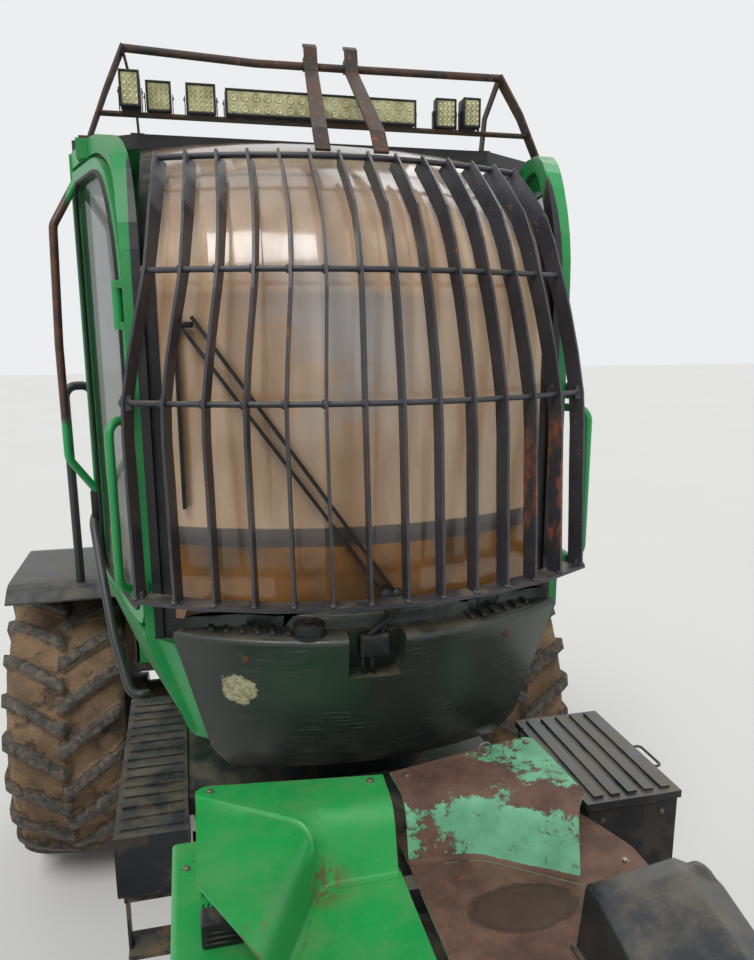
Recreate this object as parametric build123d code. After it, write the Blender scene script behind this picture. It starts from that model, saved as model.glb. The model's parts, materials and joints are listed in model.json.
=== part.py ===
"""Six-wheeled forestry harvester: front frame on a driven bogie, turning cab, folding crane with a
felling head, and a rear frame with the engine, hinged at the steering pivot.

Millimetres. The machine faces -Y, its left side is +X, +Z is up and the ground is at Z = 0.
Working stations along Y are measured from the photographed cab; SHIFT_Y moves the finished
machine so that the origin lies under the middle of its length.
"""
from build123d import *

import os
from math import acos, asin, cos, degrees, hypot, pi, radians, sin, sqrt

os.makedirs("parts", exist_ok=True)

# Stations along the machine
BOGIE_Y = -1700
BOGIE_HALF = 750
PIVOT_Y = 1350
REAR_AXLE_Y = 2900
REAR_END_Y = 4480
HITCH_LEN = 90
HEAD_REACH_Y = 350

# Clearances
SEAT_GAP = 0.3
RUN_GAP = 0.05
MOVE_GAP = 6

# Tyres and rims
OUTER_X = 1570
LUGS = 22
LUG_SWEEP = 220
LUG_ROOT_W = 84
LUG_TIP_W = 66
LUG_DRAFT = 8
FRONT_TYRE_R = 670
FRONT_TYRE_W = 710
FRONT_RIM_R = 340
REAR_TYRE_R = 820
REAR_TYRE_W = 600
REAR_RIM_R = 430
LUG_H = 46
BEAD_INSET = 62
RIM_WALL = 14
RIM_DISC = 22
HUB_DRUM_R = 185

# Axles and bogie
AXLE_R = 120
BOGIE_BEAM_X0 = 620
BOGIE_BEAM_X1 = 800
FRONT_HUB_X = 1010
REAR_HUB_X = 1120
HUB_STUB_R = 150

# Frames
BEAM_HALF = 380
BEAM_TOP_Z = 1400
BEAM_BOTTOM_Z = 880
NOSE_Y = -2900
DECK_Z = 1490
DECK_SHEET = 6
COVER_TOP_Z = 1670
LUG_PLATE = 60
JOINT_TOP_Z = 1120
JOINT_BOTTOM_Z = 700
JOINT_LUG_R = 150
PIVOT_PIN_R = 60
PIVOT_BARREL_R = 110
RING_DECK_Z = 1290
RING_R = 420
RING_TOP_Z = 1400

# Steering cylinders
STEER_BASE_X = 450
STEER_BASE_Y = 450
STEER_EYE_X = 420
STEER_EYE_Y = 1700
STEER_Z = 940
STEER_BARREL_R = 48
STEER_ROD_R = 28

# Cab
TUB_BOTTOM_Z = 1660
SILL_Z = 2050
WALL_T = 42
GLASS_T = 8
ROOF_Z = 3716
ROOF_T = 50
RACK_PAD_Z = 3706
GUARD_EAR_Z = (2237, 2841)
CAB_FRONT = (735, 770)
CAB_SIDE = (957, 1600)
CAB_REAR = (800, 2020)
SCREEN_FRONT_Y = 560
SCREEN_BOTTOM_Z = 2120
SCREEN_BEND_Z = 3080
SCREEN_TOP_Y = 1420
SCREEN_HALF = 640
BAND_X = 679.7
SCREEN_PLAN_R = 1300
SCREEN_R1 = 500
SCREEN_BEND_DEG = 58
SCREEN_R2 = 2004
SCREEN_T = 10

# Front guard
GUARD_R = 1340
GUARD_BARS = 14
BAR_DEPTH = 56
BAR_T = 9
RAIL_R = 9

# Light rack
RACK_Y = 1400
RACK_Z = 4046
RACK_HALF = 727
RACK_TUBE_R = 14
LAMP_RAIL_Y = 1330
LAMP_RAIL_Z = 3812

# Crane
PILLAR_BASE_Z = 1560
PILLAR_R = 230
BOOM_PIVOT_Y = -1750
BOOM_PIVOT_Z = 2250
BOOM_LEN = 2900
BOOM_REST_DEG = 36
JIB_LEN = 2380
JIB_REST_DEG = 82
TIP_LEN = 2600
PIN_R = 35
BOOM_H = 250
BOOM_W = 200
JIB_H = 220
JIB_W = 180
EXT_H = 176
EXT_W = 136
LIFT_BASE = (-2060, 1640)
LIFT_EYE_S = 1000
LIFT_EYE_DROP = 260
JIB_BASE_S = 1150
JIB_BASE_RISE = 235
HORN_R = 330
HORN_DEG = 33
LIFT_BARREL_R = 62
LIFT_ROD_R = 38
JIB_BARREL_R = 55
JIB_ROD_R = 32
CYL_LUG_T = 14
CYL_EYE_W = 70

# Felling head
LINK_LEN = 190
ROTATOR_H = 150
HEAD_HALF = 620
HEAD_DROP = 790
HEAD_BEAM_H = 90
TILT_RISE = 150

SHIFT_Y = -(BOOM_PIVOT_Y - BOOM_LEN * cos(radians(BOOM_REST_DEG)) - TIP_LEN * cos(radians(JIB_REST_DEG))
            - HEAD_REACH_Y + REAR_END_Y + HITCH_LEN) / 2


def block(x0, x1, y0, y1, z0, z1):
    return Pos((x0 + x1) / 2, (y0 + y1) / 2, (z0 + z1) / 2) * Box(abs(x1 - x0), abs(y1 - y0), abs(z1 - z0))


def wound(points):
    """The outline's points in anticlockwise order."""
    points = list(points)
    area = sum(a[0] * b[1] - b[0] * a[1] for a, b in zip(points, points[1:] + points[:1]))
    return points if area > 0 else points[::-1]


def eased(points, reach, keep=()):
    """Polyline or outline with its corners cut by parabolas that start up to reach from each corner."""
    last = len(points) - 1
    out = []
    for i, corner in enumerate(points):
        if i in keep:
            out.append(corner)
            continue
        here, before, after = Vector(*corner), Vector(*points[i - 1]), Vector(*points[(i + 1) % (last + 1)])
        to_before = (before - here) * min(0.45, reach / (before - here).length)
        to_after = (after - here) * min(0.45, reach / (after - here).length)
        for t in (0, 1 / 3, 2 / 3, 1):
            spot = here + to_before * (1 - t) ** 2 + to_after * t ** 2
            out.append((spot.X, spot.Y, spot.Z)[:len(corner)])
    return out


def side_plate(points, x0, x1):
    """Plate with its outline in (y, z), thick along X."""
    return extrude(Plane.YZ.offset(x0) * Polygon(*wound(points), align=None), amount=x1 - x0)


def flat_plate(points, z0, z1):
    """Plate with its outline in (x, y), thick along Z."""
    return extrude(Plane.XY.offset(z0) * Polygon(*wound(points), align=None), amount=z1 - z0)


def cross_plate(points, y0, y1):
    """Plate with its outline in (x, z), thick along Y."""
    return extrude(Plane.XZ.offset(-y1) * Polygon(*wound(points), align=None), amount=y1 - y0)


def bar(p, q, radius):
    """Round bar from p to q."""
    start = Vector(*p)
    span = Vector(*q) - start
    return Solid.make_cylinder(radius, span.length, Plane(origin=start, z_dir=span))


def bent_tube(points, radius, bend):
    """Round bar along straight runs with tangent bends."""
    path = FilletPolyline(*points, radius=bend)
    return sweep(Plane(origin=path @ 0, z_dir=path % 0) * Circle(radius), path=path)


def ruled(*rings):
    """Closed solid with straight sides between polygons of like corners."""
    body = Solid.make_loft([Wire.make_polygon([Vector(*p) for p in ring], close=True) for ring in rings],
                           ruled=True)
    return body if body.volume > 0 else ruled(*[list(reversed(ring)) for ring in rings])


def twisted_sheet(quad, shift):
    """Sheet over four corners that need not share a plane: two triangles, thick along the shift."""
    halves = []
    for corners in ((quad[0], quad[1], quad[2]), (quad[0], quad[2], quad[3])):
        halves.append(ruled(corners, [tuple(a + b for a, b in zip(corner, shift)) for corner in corners]))
    return halves


def strap(points, inward, depth, thick):
    """Rectangular bar along a polyline: the points are its outer edge, its depth runs inward."""
    spots = [Vector(*p) for p in points]
    rings = []
    for i, spot in enumerate(spots):
        along = (spots[min(i + 1, len(spots) - 1)] - spots[max(i - 1, 0)]).normalized()
        side = along.cross(Vector(*inward)).normalized() * (thick / 2)
        deep = side.cross(along).normalized() * depth
        rings.append([spot + side, spot - side, spot - side + deep, spot + side + deep])
    return Solid.make_loft([Wire.make_polygon(ring, close=True) for ring in rings], ruled=True)


def join(*pieces):
    return pieces[0] + list(pieces[1:])


def both(shape):
    """The shape and its mirror image on the machine's other side."""
    return shape + mirror(shape, about=Plane.YZ)


def save(name, *shapes):
    solids = [solid for shape in shapes for solid in shape.solids()]
    body = solids[0] if len(solids) == 1 else Compound(solids)
    export_step(Pos(0, SHIFT_Y, 0) * body, f"parts/{name}.step")


# Wheels

def ngon(x, radius):
    """Corners of the tyre's polygon of one facet for each lug, in the plane at x."""
    return [(x, radius * sin(2 * pi * (i + 0.5) / LUGS),
             radius * cos(2 * pi * (i + 0.5) / LUGS)) for i in range(LUGS)]


def lug_corner_y():
    return LUG_SWEEP / 2 + LUG_TIP_W / 2


def standing_height(radius):
    """Height of a wheel's centre when it stands on its lowest lug corners."""
    pitch = 360 / LUGS
    corner = degrees(asin(lug_corner_y() / radius))
    return radius * cos(radians(min(abs(pitch - corner), abs(corner - pitch / 2))))


def make_tyre(radius, width, rim_radius):
    half = width / 2
    base = radius - LUG_H
    bead_x = half - BEAD_INSET
    ring_table = [  # x, radius
        (-bead_x, rim_radius + 34), (-half, (base + rim_radius) / 2), (-half + 26, base - 46),
        (-half * 0.6, base - 12), (half * 0.6, base - 12), (half - 26, base - 46),
        (half, (base + rim_radius) / 2), (bead_x, rim_radius + 34)]
    carcass = ruled(*[ngon(x, r) for x, r in ring_table])
    carcass = carcass - ruled(ngon(-width, rim_radius), ngon(width, rim_radius))
    top = sqrt(radius ** 2 - lug_corner_y() ** 2)
    sweep_y = LUG_SWEEP / 2
    x_in = -12
    x_out = half - 4
    tip = [(x_in, -sweep_y - LUG_TIP_W / 2), (x_in, -sweep_y + LUG_TIP_W / 2),
           (x_out, sweep_y + LUG_TIP_W / 2), (x_out, sweep_y - LUG_TIP_W / 2)]
    grow = LUG_ROOT_W / 2 - LUG_TIP_W / 2
    root = [(x_in - LUG_DRAFT, -sweep_y - LUG_TIP_W / 2 - grow),
            (x_in - LUG_DRAFT, -sweep_y + LUG_TIP_W / 2 + grow),
            (half, sweep_y + LUG_TIP_W / 2 + grow), (half, sweep_y - LUG_TIP_W / 2 - grow)]
    lug = ruled([(x, y, base - 74) for x, y in root], [(x, y, top) for x, y in tip])
    twin = mirror(lug, about=Plane.YZ)
    pitch = 360 / LUGS
    rows = [Rot(pitch * i, 0, 0) * lug for i in range(LUGS)]
    rows += [Rot(pitch * (i + 0.5), 0, 0) * twin for i in range(LUGS)]
    return carcass + rows


def make_rim(width, rim_radius, disc_x, drum_out_x):
    """Rim barrel, disc and planetary hub drum; the disc's inner face is at disc_x, outboard is +x."""
    edge = width / 2 - BEAD_INSET
    radius = rim_radius - SEAT_GAP
    barrel = ruled(ngon(-edge, radius), ngon(edge, radius))
    barrel = barrel - ruled(ngon(-edge - 1, radius - RIM_WALL), ngon(edge + 1, radius - RIM_WALL))
    disc = ruled(ngon(disc_x, radius - RIM_WALL / 2), ngon(disc_x + RIM_DISC, radius - RIM_WALL / 2))
    drum = bar((disc_x, 0, 0), (drum_out_x, 0, 0), HUB_DRUM_R)
    cap = bar((drum_out_x, 0, 0), (drum_out_x + 40, 0, 0), HUB_DRUM_R * 0.6)
    return join(barrel, disc, drum, cap)


FRONT_WHEEL_Z = standing_height(FRONT_TYRE_R)
REAR_WHEEL_Z = standing_height(REAR_TYRE_R)
FRONT_WHEEL_X = OUTER_X - FRONT_TYRE_W / 2
REAR_WHEEL_X = OUTER_X - REAR_TYRE_W / 2

front_tyre = make_tyre(FRONT_TYRE_R, FRONT_TYRE_W, FRONT_RIM_R)
rear_tyre = make_tyre(REAR_TYRE_R, REAR_TYRE_W, REAR_RIM_R)
front_rim = make_rim(FRONT_TYRE_W, FRONT_RIM_R, FRONT_HUB_X + SEAT_GAP - FRONT_WHEEL_X, 110)
rear_rim = make_rim(REAR_TYRE_W, REAR_RIM_R, REAR_HUB_X + SEAT_GAP - REAR_WHEEL_X, 130)

WHEELS = [  # name, side, y, front size
    ("bogie_front_left", 1, BOGIE_Y - BOGIE_HALF, True), ("bogie_front_right", -1, BOGIE_Y - BOGIE_HALF,
                                                          True),
    ("bogie_rear_left", 1, BOGIE_Y + BOGIE_HALF, True), ("bogie_rear_right", -1, BOGIE_Y + BOGIE_HALF, True),
    ("rear_left", 1, REAR_AXLE_Y, False), ("rear_right", -1, REAR_AXLE_Y, False)]
for name, side, y, is_front in WHEELS:
    x, z = (FRONT_WHEEL_X, FRONT_WHEEL_Z) if is_front else (REAR_WHEEL_X, REAR_WHEEL_Z)
    tyre, rim = (front_tyre, front_rim) if is_front else (rear_tyre, rear_rim)
    if side < 0:
        tyre, rim = mirror(tyre, about=Plane.YZ), mirror(rim, about=Plane.YZ)
    save(f"tyre_{name}", Pos(side * x, y, z) * tyre)
    save(f"rim_{name}", Pos(side * x, y, z) * rim)

# Bogie beams and axles

bogie_outline = [  # y from the bogie's middle, z from the wheel centre
    (-900, -60), (-840, -150), (-560, -170), (0, -200), (560, -170), (840, -150), (900, -60),
    (900, 60), (840, 140), (300, 190), (-300, 190), (-840, 140), (-900, 60)]
bogie = side_plate([(BOGIE_Y + y, FRONT_WHEEL_Z + z) for y, z in bogie_outline], BOGIE_BEAM_X0,
                   BOGIE_BEAM_X1)
for y in (BOGIE_Y - BOGIE_HALF, BOGIE_Y + BOGIE_HALF):
    bogie = bogie + bar((BOGIE_BEAM_X1 - 20, y, FRONT_WHEEL_Z), (FRONT_HUB_X, y, FRONT_WHEEL_Z), HUB_STUB_R)
save("bogie_beams", both(bogie))

AXLE_Z = FRONT_WHEEL_Z + 20
front_axle = join(
    bar((SEAT_GAP - BOGIE_BEAM_X0, BOGIE_Y, AXLE_Z), (BOGIE_BEAM_X0 - SEAT_GAP, BOGIE_Y, AXLE_Z), AXLE_R),
    bar((-150, BOGIE_Y, AXLE_Z), (150, BOGIE_Y, AXLE_Z), AXLE_R + 55),
    both(block(240, 340, BOGIE_Y - 130, BOGIE_Y + 130, AXLE_Z, BEAM_BOTTOM_Z - SEAT_GAP)))
save("front_axle", front_axle)

REAR_BEAM_BOTTOM_Z = 1040
rear_axle = join(
    bar((-REAR_HUB_X, REAR_AXLE_Y, REAR_WHEEL_Z), (REAR_HUB_X, REAR_AXLE_Y, REAR_WHEEL_Z), AXLE_R),
    bar((-190, REAR_AXLE_Y, REAR_WHEEL_Z), (190, REAR_AXLE_Y, REAR_WHEEL_Z), AXLE_R + 70),
    both(bar((880, REAR_AXLE_Y, REAR_WHEEL_Z), (REAR_HUB_X, REAR_AXLE_Y, REAR_WHEEL_Z), HUB_STUB_R + 20)),
    both(block(250, 340, REAR_AXLE_Y - 140, REAR_AXLE_Y + 140, REAR_WHEEL_Z, REAR_BEAM_BOTTOM_Z - SEAT_GAP)))
save("rear_axle", rear_axle)

# Front frame: main beam, crane foot, cab ring deck, pivot lugs, deck bearers

beam_outline = [(NOSE_Y, 1080), (NOSE_Y, BEAM_TOP_Z), (820, BEAM_TOP_Z), (820, 1200), (900, 1200),
                (900, JOINT_BOTTOM_Z),
                (700, JOINT_BOTTOM_Z), (500, BEAM_BOTTOM_Z), (-2500, BEAM_BOTTOM_Z), (NOSE_Y + 120, 960)]
front_frame = side_plate(beam_outline, -BEAM_HALF, BEAM_HALF)
front_frame = front_frame - both(block(290, BEAM_HALF + 1, 500, 901, 600, 1010))
crane_foot = bar((0, BOGIE_Y, BEAM_TOP_Z), (0, BOGIE_Y, PILLAR_BASE_Z - SEAT_GAP), PILLAR_R + 110)


def pivot_lug(z0, z1):
    """Lug from the beam's end that carries the steering pin, round about the pivot."""
    plate = flat_plate([(-300, 880), (300, 880), (JOINT_LUG_R, PIVOT_Y), (-JOINT_LUG_R, PIVOT_Y)], z0, z1)
    return plate + bar((0, PIVOT_Y, z0), (0, PIVOT_Y, z1), JOINT_LUG_R)


upper_lug = pivot_lug(JOINT_TOP_Z - LUG_PLATE, JOINT_TOP_Z)
lower_lug = pivot_lug(JOINT_BOTTOM_Z, JOINT_BOTTOM_Z + LUG_PLATE)
steering_pin = bar((0, PIVOT_Y, JOINT_BOTTOM_Z - 20), (0, PIVOT_Y, JOINT_TOP_Z + 20), PIVOT_PIN_R)
ring_deck = flat_plate([(-560, 600), (560, 600), (620, 1000), (620, 1700), (480, 1860), (-480, 1860),
                        (-620, 1700),
                        (-620, 1000)], 1200, RING_DECK_Z)
ring_gussets = both(side_plate([(560, BEAM_TOP_Z), (820, BEAM_TOP_Z), (980, RING_DECK_Z),
                                (560, RING_DECK_Z)], 330, 360))
cab_ring = bar((0, PIVOT_Y, RING_DECK_Z), (0, PIVOT_Y, RING_TOP_Z - SEAT_GAP), RING_R)
bearers = join(block(-600, 600, -560, -500, BEAM_TOP_Z - 60, DECK_Z - DECK_SHEET),
               block(-640, 640, 60, 120, BEAM_TOP_Z - 60, DECK_Z - DECK_SHEET))
steer_brackets = both(join(
    block(BEAM_HALF + SEAT_GAP, STEER_BASE_X + 50, STEER_BASE_Y - 60, STEER_BASE_Y + 50, STEER_Z + 36,
          STEER_Z + 52),
    block(BEAM_HALF + SEAT_GAP, STEER_BASE_X + 50, STEER_BASE_Y - 60, STEER_BASE_Y + 50, STEER_Z - 52,
          STEER_Z - 36),
    bar((STEER_BASE_X, STEER_BASE_Y, STEER_Z - 60), (STEER_BASE_X, STEER_BASE_Y, STEER_Z + 60), 20)))
tow_ear = side_plate([(NOSE_Y - 110, 1140), (NOSE_Y - 110, 1240), (NOSE_Y + 10, 1300), (NOSE_Y + 10, 1080)],
                     -20, 20)
tow_ear = tow_ear - bar((-40, NOSE_Y - 60, 1190), (40, NOSE_Y - 60, 1190), 26)
front_frame = join(front_frame, crane_foot, upper_lug, lower_lug, steering_pin, ring_deck, ring_gussets,
                   cab_ring, bearers, tow_ear)
save("front_frame", front_frame, steer_brackets)

# Deck covers: folded sheets over the hydraulics in front of the cab

BEND_OUT = 42


def folded_front(top, foot):
    """Sheet that leaves the raised flat along the top line, bends over and falls to the foot line."""
    lines = []
    for (tx, ty), (fx, fy) in zip(top, foot):
        crown_y, crown_z = ty - BEND_OUT, COVER_TOP_Z - BEND_OUT * 0.3
        lines.append([
            (tx, ty, COVER_TOP_Z), (tx, crown_y + BEND_OUT * 0.45, COVER_TOP_Z - BEND_OUT * 0.05),
            (tx + (fx - tx) * 0.1, crown_y, crown_z),
            (tx + (fx - tx) * 0.3, crown_y - BEND_OUT * 0.3, COVER_TOP_Z - BEND_OUT), (fx, fy, DECK_Z)])
    strips = []
    for here, beside in zip(lines, lines[1:]):
        for i in range(len(here) - 1):
            quad = [here[i], beside[i], beside[i + 1], here[i + 1]]
            strips += twisted_sheet(quad, (0, DECK_SHEET * 1.2, -DECK_SHEET * 0.8))
    return strips


right_flat = [(-23, 366), (-32, 192), (-262, 206), (-470, -235), (-607, 0), (-604, 438)]
right_foot = [(-34, 130), (-268, 128), (-424, -200)]
right_low = [(-26, 300), (-26, -780), (-400, -860), (-684, -600), (-684, 425), (-560, 425)]
right_cover = join(flat_plate(right_flat, COVER_TOP_Z - DECK_SHEET, COVER_TOP_Z),
                   *folded_front(right_flat[1:4], right_foot),
                   flat_plate(right_low, DECK_Z - DECK_SHEET, DECK_Z),
                   block(-684, -678, -600, 425, DECK_Z - 90, DECK_Z),
                   block(-604, -598, 60, 425, DECK_Z - 2, COVER_TOP_Z - 2))
save("deck_cover_right", right_cover)

left_flat = [(2, 372), (10, 222), (212, 207), (497, 57), (553, 120), (536, 485)]
left_foot = [(8, 168), (222, 150), (470, -26)]
left_low = [(6, 300), (6, -780), (300, -900), (704, -900), (704, 60), (640, 236), (560, 400), (500, 425)]
left_cover = join(flat_plate(left_flat, COVER_TOP_Z - DECK_SHEET, COVER_TOP_Z),
                  *folded_front(left_flat[1:4], left_foot),
                  flat_plate(left_low, DECK_Z - DECK_SHEET, DECK_Z),
                  block(536, 542, 130, 400, DECK_Z - 2, COVER_TOP_Z - 2))
save("deck_cover_left", left_cover)

deck_lamp = block(-640, -530, -330, -250, DECK_Z + SEAT_GAP, DECK_Z + 62)
for i in range(6):
    x = -634 + i * 19
    deck_lamp = deck_lamp + block(x, x + 6, -250, -236, DECK_Z + 8, DECK_Z + 54)
save("deck_lamp", deck_lamp)

# Hydraulic valve housing ahead of the side box

valve_cover = ruled([(352, -330, DECK_Z + SEAT_GAP), (690, -310, DECK_Z + SEAT_GAP),
                     (700, -860, DECK_Z + SEAT_GAP),
                     (340, -860, DECK_Z + SEAT_GAP)],
                    [(352, -345, 1690), (690, -330, 1690), (700, -860, 1690), (340, -860, 1690)],
                    [(380, -390, 1730), (660, -370, 1730), (670, -830, 1730), (370, -830, 1730)])
save("valve_cover", valve_cover)

# Side box with a ribbed lid on hinges, and the step platform on the other side

BOX_X0, BOX_X1, BOX_Y0, BOX_Y1 = 646, 976, 256, 826
BOX_Z0, BOX_Z1 = 1180, 1508
BOX_WALL = 8
side_box = block(BOX_X0, BOX_X1, BOX_Y0, BOX_Y1, BOX_Z0, BOX_Z1)
side_box = side_box - block(
    BOX_X0 + BOX_WALL, BOX_X1 - BOX_WALL, BOX_Y0 + BOX_WALL, BOX_Y1 - BOX_WALL, BOX_Z0 + BOX_WALL,
                            BOX_Z1 + 1)
box_arms = [block(BEAM_HALF + SEAT_GAP, BOX_X0 + 2, y, y + 80, BOX_Z0 + 2, BOX_Z0 + 60) for y in (300, 480)]
LID_PIN_X, LID_PIN_Z = BOX_X0 - 16, BOX_Z1 + 2
LID_KNUCKLE_R, LID_PIN_R, LID_LUG_T = 8, 4, 8
LID_KNUCKLES = ((320, 400), (682, 762))
box_hinges = []
for y0, y1 in LID_KNUCKLES:
    box_hinges.append(bar((LID_PIN_X, y0 - 12, LID_PIN_Z), (LID_PIN_X, y1 + 12, LID_PIN_Z), LID_PIN_R))
    for low, high in ((y0 - SEAT_GAP - LID_LUG_T, y0 - SEAT_GAP),
                      (y1 + SEAT_GAP, y1 + SEAT_GAP + LID_LUG_T)):
        box_hinges.append(bar((LID_PIN_X, low, LID_PIN_Z), (LID_PIN_X, high, LID_PIN_Z), LID_KNUCKLE_R))
        box_hinges.append(block(LID_PIN_X - 6, BOX_X0 + 2, low, high, BOX_Z1 - 22, BOX_Z1 - 1))
save("side_box", join(side_box, *box_arms, *box_hinges))
lid = block(BOX_X0 - 10, BOX_X1 + 8, BOX_Y0 - 10, BOX_Y1 + 8, BOX_Z1 + SEAT_GAP, BOX_Z1 + 26)
for y0, y1 in LID_KNUCKLES:
    lid = lid + bar((LID_PIN_X, y0, LID_PIN_Z), (LID_PIN_X, y1, LID_PIN_Z), LID_KNUCKLE_R)
    lid = lid + block(LID_PIN_X, BOX_X0 - 6, y0, y1, LID_PIN_Z, LID_PIN_Z + LID_KNUCKLE_R)
    lid = lid - bar((LID_PIN_X, y0 - 1, LID_PIN_Z), (LID_PIN_X, y1 + 1, LID_PIN_Z), LID_PIN_R + RUN_GAP)
    for low in (y0 - SEAT_GAP - LID_LUG_T - 2, y1):
        lid = lid - block(LID_PIN_X - 10, LID_PIN_X + 12, low, low + LID_LUG_T + 2 + SEAT_GAP, BOX_Z1,
                          BOX_Z1 + 27)
for i in range(5):
    x = BOX_X0 + 26 + i * 62
    lid = lid + block(x, x + 34, BOX_Y0 + 14, BOX_Y1 - 14, BOX_Z1 + 24, BOX_Z1 + 36)
handle = bent_tube([(BOX_X1 + 4, 420, BOX_Z1 + 14), (BOX_X1 + 44, 420, BOX_Z1 + 14),
                    (BOX_X1 + 44, 560, BOX_Z1 + 14),
                    (BOX_X1 + 4, 560, BOX_Z1 + 14)], 5, 16)
save("side_box_lid", lid + handle)

STEP_X0, STEP_X1, STEP_Y0, STEP_Y1 = -900, -640, 780, 1900
STEP_TOP_Z = 1300
step = block(STEP_X0, STEP_X1, STEP_Y0, STEP_Y1, STEP_TOP_Z - 40, STEP_TOP_Z)
step = step + block(STEP_X0, STEP_X1, STEP_Y0, STEP_Y0 + 330, 1060, STEP_TOP_Z - 20)
step = step + block(STEP_X1 - 8, -620 - SEAT_GAP, 1010, 1600, 1205, 1285)
for z in (640, 900):
    step = step + block(STEP_X0, STEP_X1 + 20, 960, 1100, z, z + 20)
for x in (STEP_X0, STEP_X1 + 8):
    step = step + block(x, x + 12, 1000, 1060, 640, 1100)
cleats = [block(STEP_X0 + 20, STEP_X1 - 20, y, y + 12, STEP_TOP_Z - 2, STEP_TOP_Z + 8)
          for y in range(STEP_Y0 + 40, STEP_Y1 - 30, 70)]
save("step_platform", step + cleats)

# Rear frame

REAR_TOP_Z = 1180
rear_outline = [(1500, 800), (1500, 1020), (2000, 1020), (2350, REAR_TOP_Z), (REAR_END_Y - 80, REAR_TOP_Z),
                (REAR_END_Y - 80, 960), (3500, REAR_BEAM_BOTTOM_Z), (2500, REAR_BEAM_BOTTOM_Z), (2150, 800)]
rear_frame = side_plate(rear_outline, -BEAM_HALF + 20, BEAM_HALF - 20)
neck = block(-130, 130, PIVOT_Y + 60, 1560, JOINT_BOTTOM_Z + LUG_PLATE + 20, JOINT_TOP_Z - LUG_PLATE - 20)
pivot_barrel = bar((0, PIVOT_Y, JOINT_BOTTOM_Z + LUG_PLATE + SEAT_GAP),
                   (0, PIVOT_Y, JOINT_TOP_Z - LUG_PLATE - SEAT_GAP),
                   PIVOT_BARREL_R)
rear_frame = join(rear_frame, neck, pivot_barrel)
rear_frame = rear_frame - bar((0, PIVOT_Y, 600), (0, PIVOT_Y, 1200), PIVOT_PIN_R + RUN_GAP)
rear_frame = rear_frame - both(block(250, 400, 1400, 1850, STEER_Z - 60, STEER_Z + 60))
eye_lugs = both(join(
    flat_plate([(300, 1640), (STEER_EYE_X + 50, 1640), (STEER_EYE_X + 50, 1760), (340, 1900), (300, 1900)],
               STEER_Z + 40, STEER_Z + 60),
    flat_plate([(300, 1640), (STEER_EYE_X + 50, 1640), (STEER_EYE_X + 50, 1760), (340, 1900), (300, 1900)],
               STEER_Z - 60, STEER_Z - 40)))
deck_edge = block(-930, 930, 2500, REAR_END_Y - 80, REAR_TOP_Z, REAR_TOP_Z + 50)
tanks = both(ruled([(BEAM_HALF, 3760, 760), (860, 3760, 860), (860, 4340, 860), (BEAM_HALF, 4340, 760)],
                   [(BEAM_HALF, 3760, REAR_TOP_Z + 10), (900, 3760, REAR_TOP_Z + 10),
                    (900, 4340, REAR_TOP_Z + 10),
                    (BEAM_HALF, 4340, REAR_TOP_Z + 10)]))
bumper = block(-800, 800, REAR_END_Y - 81, REAR_END_Y, 900, 1230)
rear_frame = join(rear_frame, eye_lugs, deck_edge, tanks, bumper)
hitch = side_plate([(REAR_END_Y - 10, 960), (REAR_END_Y + HITCH_LEN, 985), (REAR_END_Y + HITCH_LEN, 1075),
                    (REAR_END_Y - 10, 1120)], -25, 25)
hitch = hitch - bar((-60, REAR_END_Y + 50, 1030), (60, REAR_END_Y + 50, 1030), 24)
DECK2_Z = REAR_TOP_Z + 50
hood_pins = []
for x0, x1 in ((480, 500 - SEAT_GAP), (560 + SEAT_GAP, 580)):
    hood_pins.append(bar((x0, REAR_END_Y - 65, DECK2_Z + 22), (x1, REAR_END_Y - 65, DECK2_Z + 22), 10))
    hood_pins.append(block(x0, x1, REAR_END_Y - 74, REAR_END_Y - 56, DECK2_Z - 5, DECK2_Z + 22))
hood_pins.append(bar((485, REAR_END_Y - 65, DECK2_Z + 22), (575, REAR_END_Y - 65, DECK2_Z + 22), 6))
rear_frame = join(rear_frame, hitch, both(join(*hood_pins)))
save("rear_frame", rear_frame)

save("engine", block(-330, 330, 2950, 3950, DECK2_Z + SEAT_GAP, 1880))

HOOD_X = 890
FENDER_X0, FENDER_X1 = HOOD_X + 15, OUTER_X - 50
FENDER_Y0, FENDER_Y1 = REAR_AXLE_Y - 570, REAR_AXLE_Y + 250
FENDER_Z, FENDER_T = 1760, 8
fender_line = eased([(FENDER_Y0, FENDER_Z - 70), (FENDER_Y0 + 90, FENDER_Z), (FENDER_Y1, FENDER_Z),
                     (FENDER_Y1 + 90, FENDER_Z - 60)],
                    80, keep=(0, 3))
fender_under = [(y, z - FENDER_T) for y, z in reversed(fender_line)]
fender = join(
    side_plate(fender_line + fender_under, FENDER_X0, FENDER_X1),
    block(FENDER_X0, FENDER_X0 + FENDER_T, 2500, FENDER_Y1, DECK2_Z + SEAT_GAP, FENDER_Z - 4),
    block(FENDER_X1 - FENDER_T, FENDER_X1, FENDER_Y0 + 110, FENDER_Y1 - 20, FENDER_Z - 50, FENDER_Z - 4))
post = bent_tube([(1160, 2450, FENDER_Z - 4), (1160, 2450, 2780), (1030, 2510, 2780),
                  (1030, 2510, FENDER_Z - 4)], 22, 60)
save("rear_fenders", both(fender) + mirror(post, about=Plane.YZ))

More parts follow.
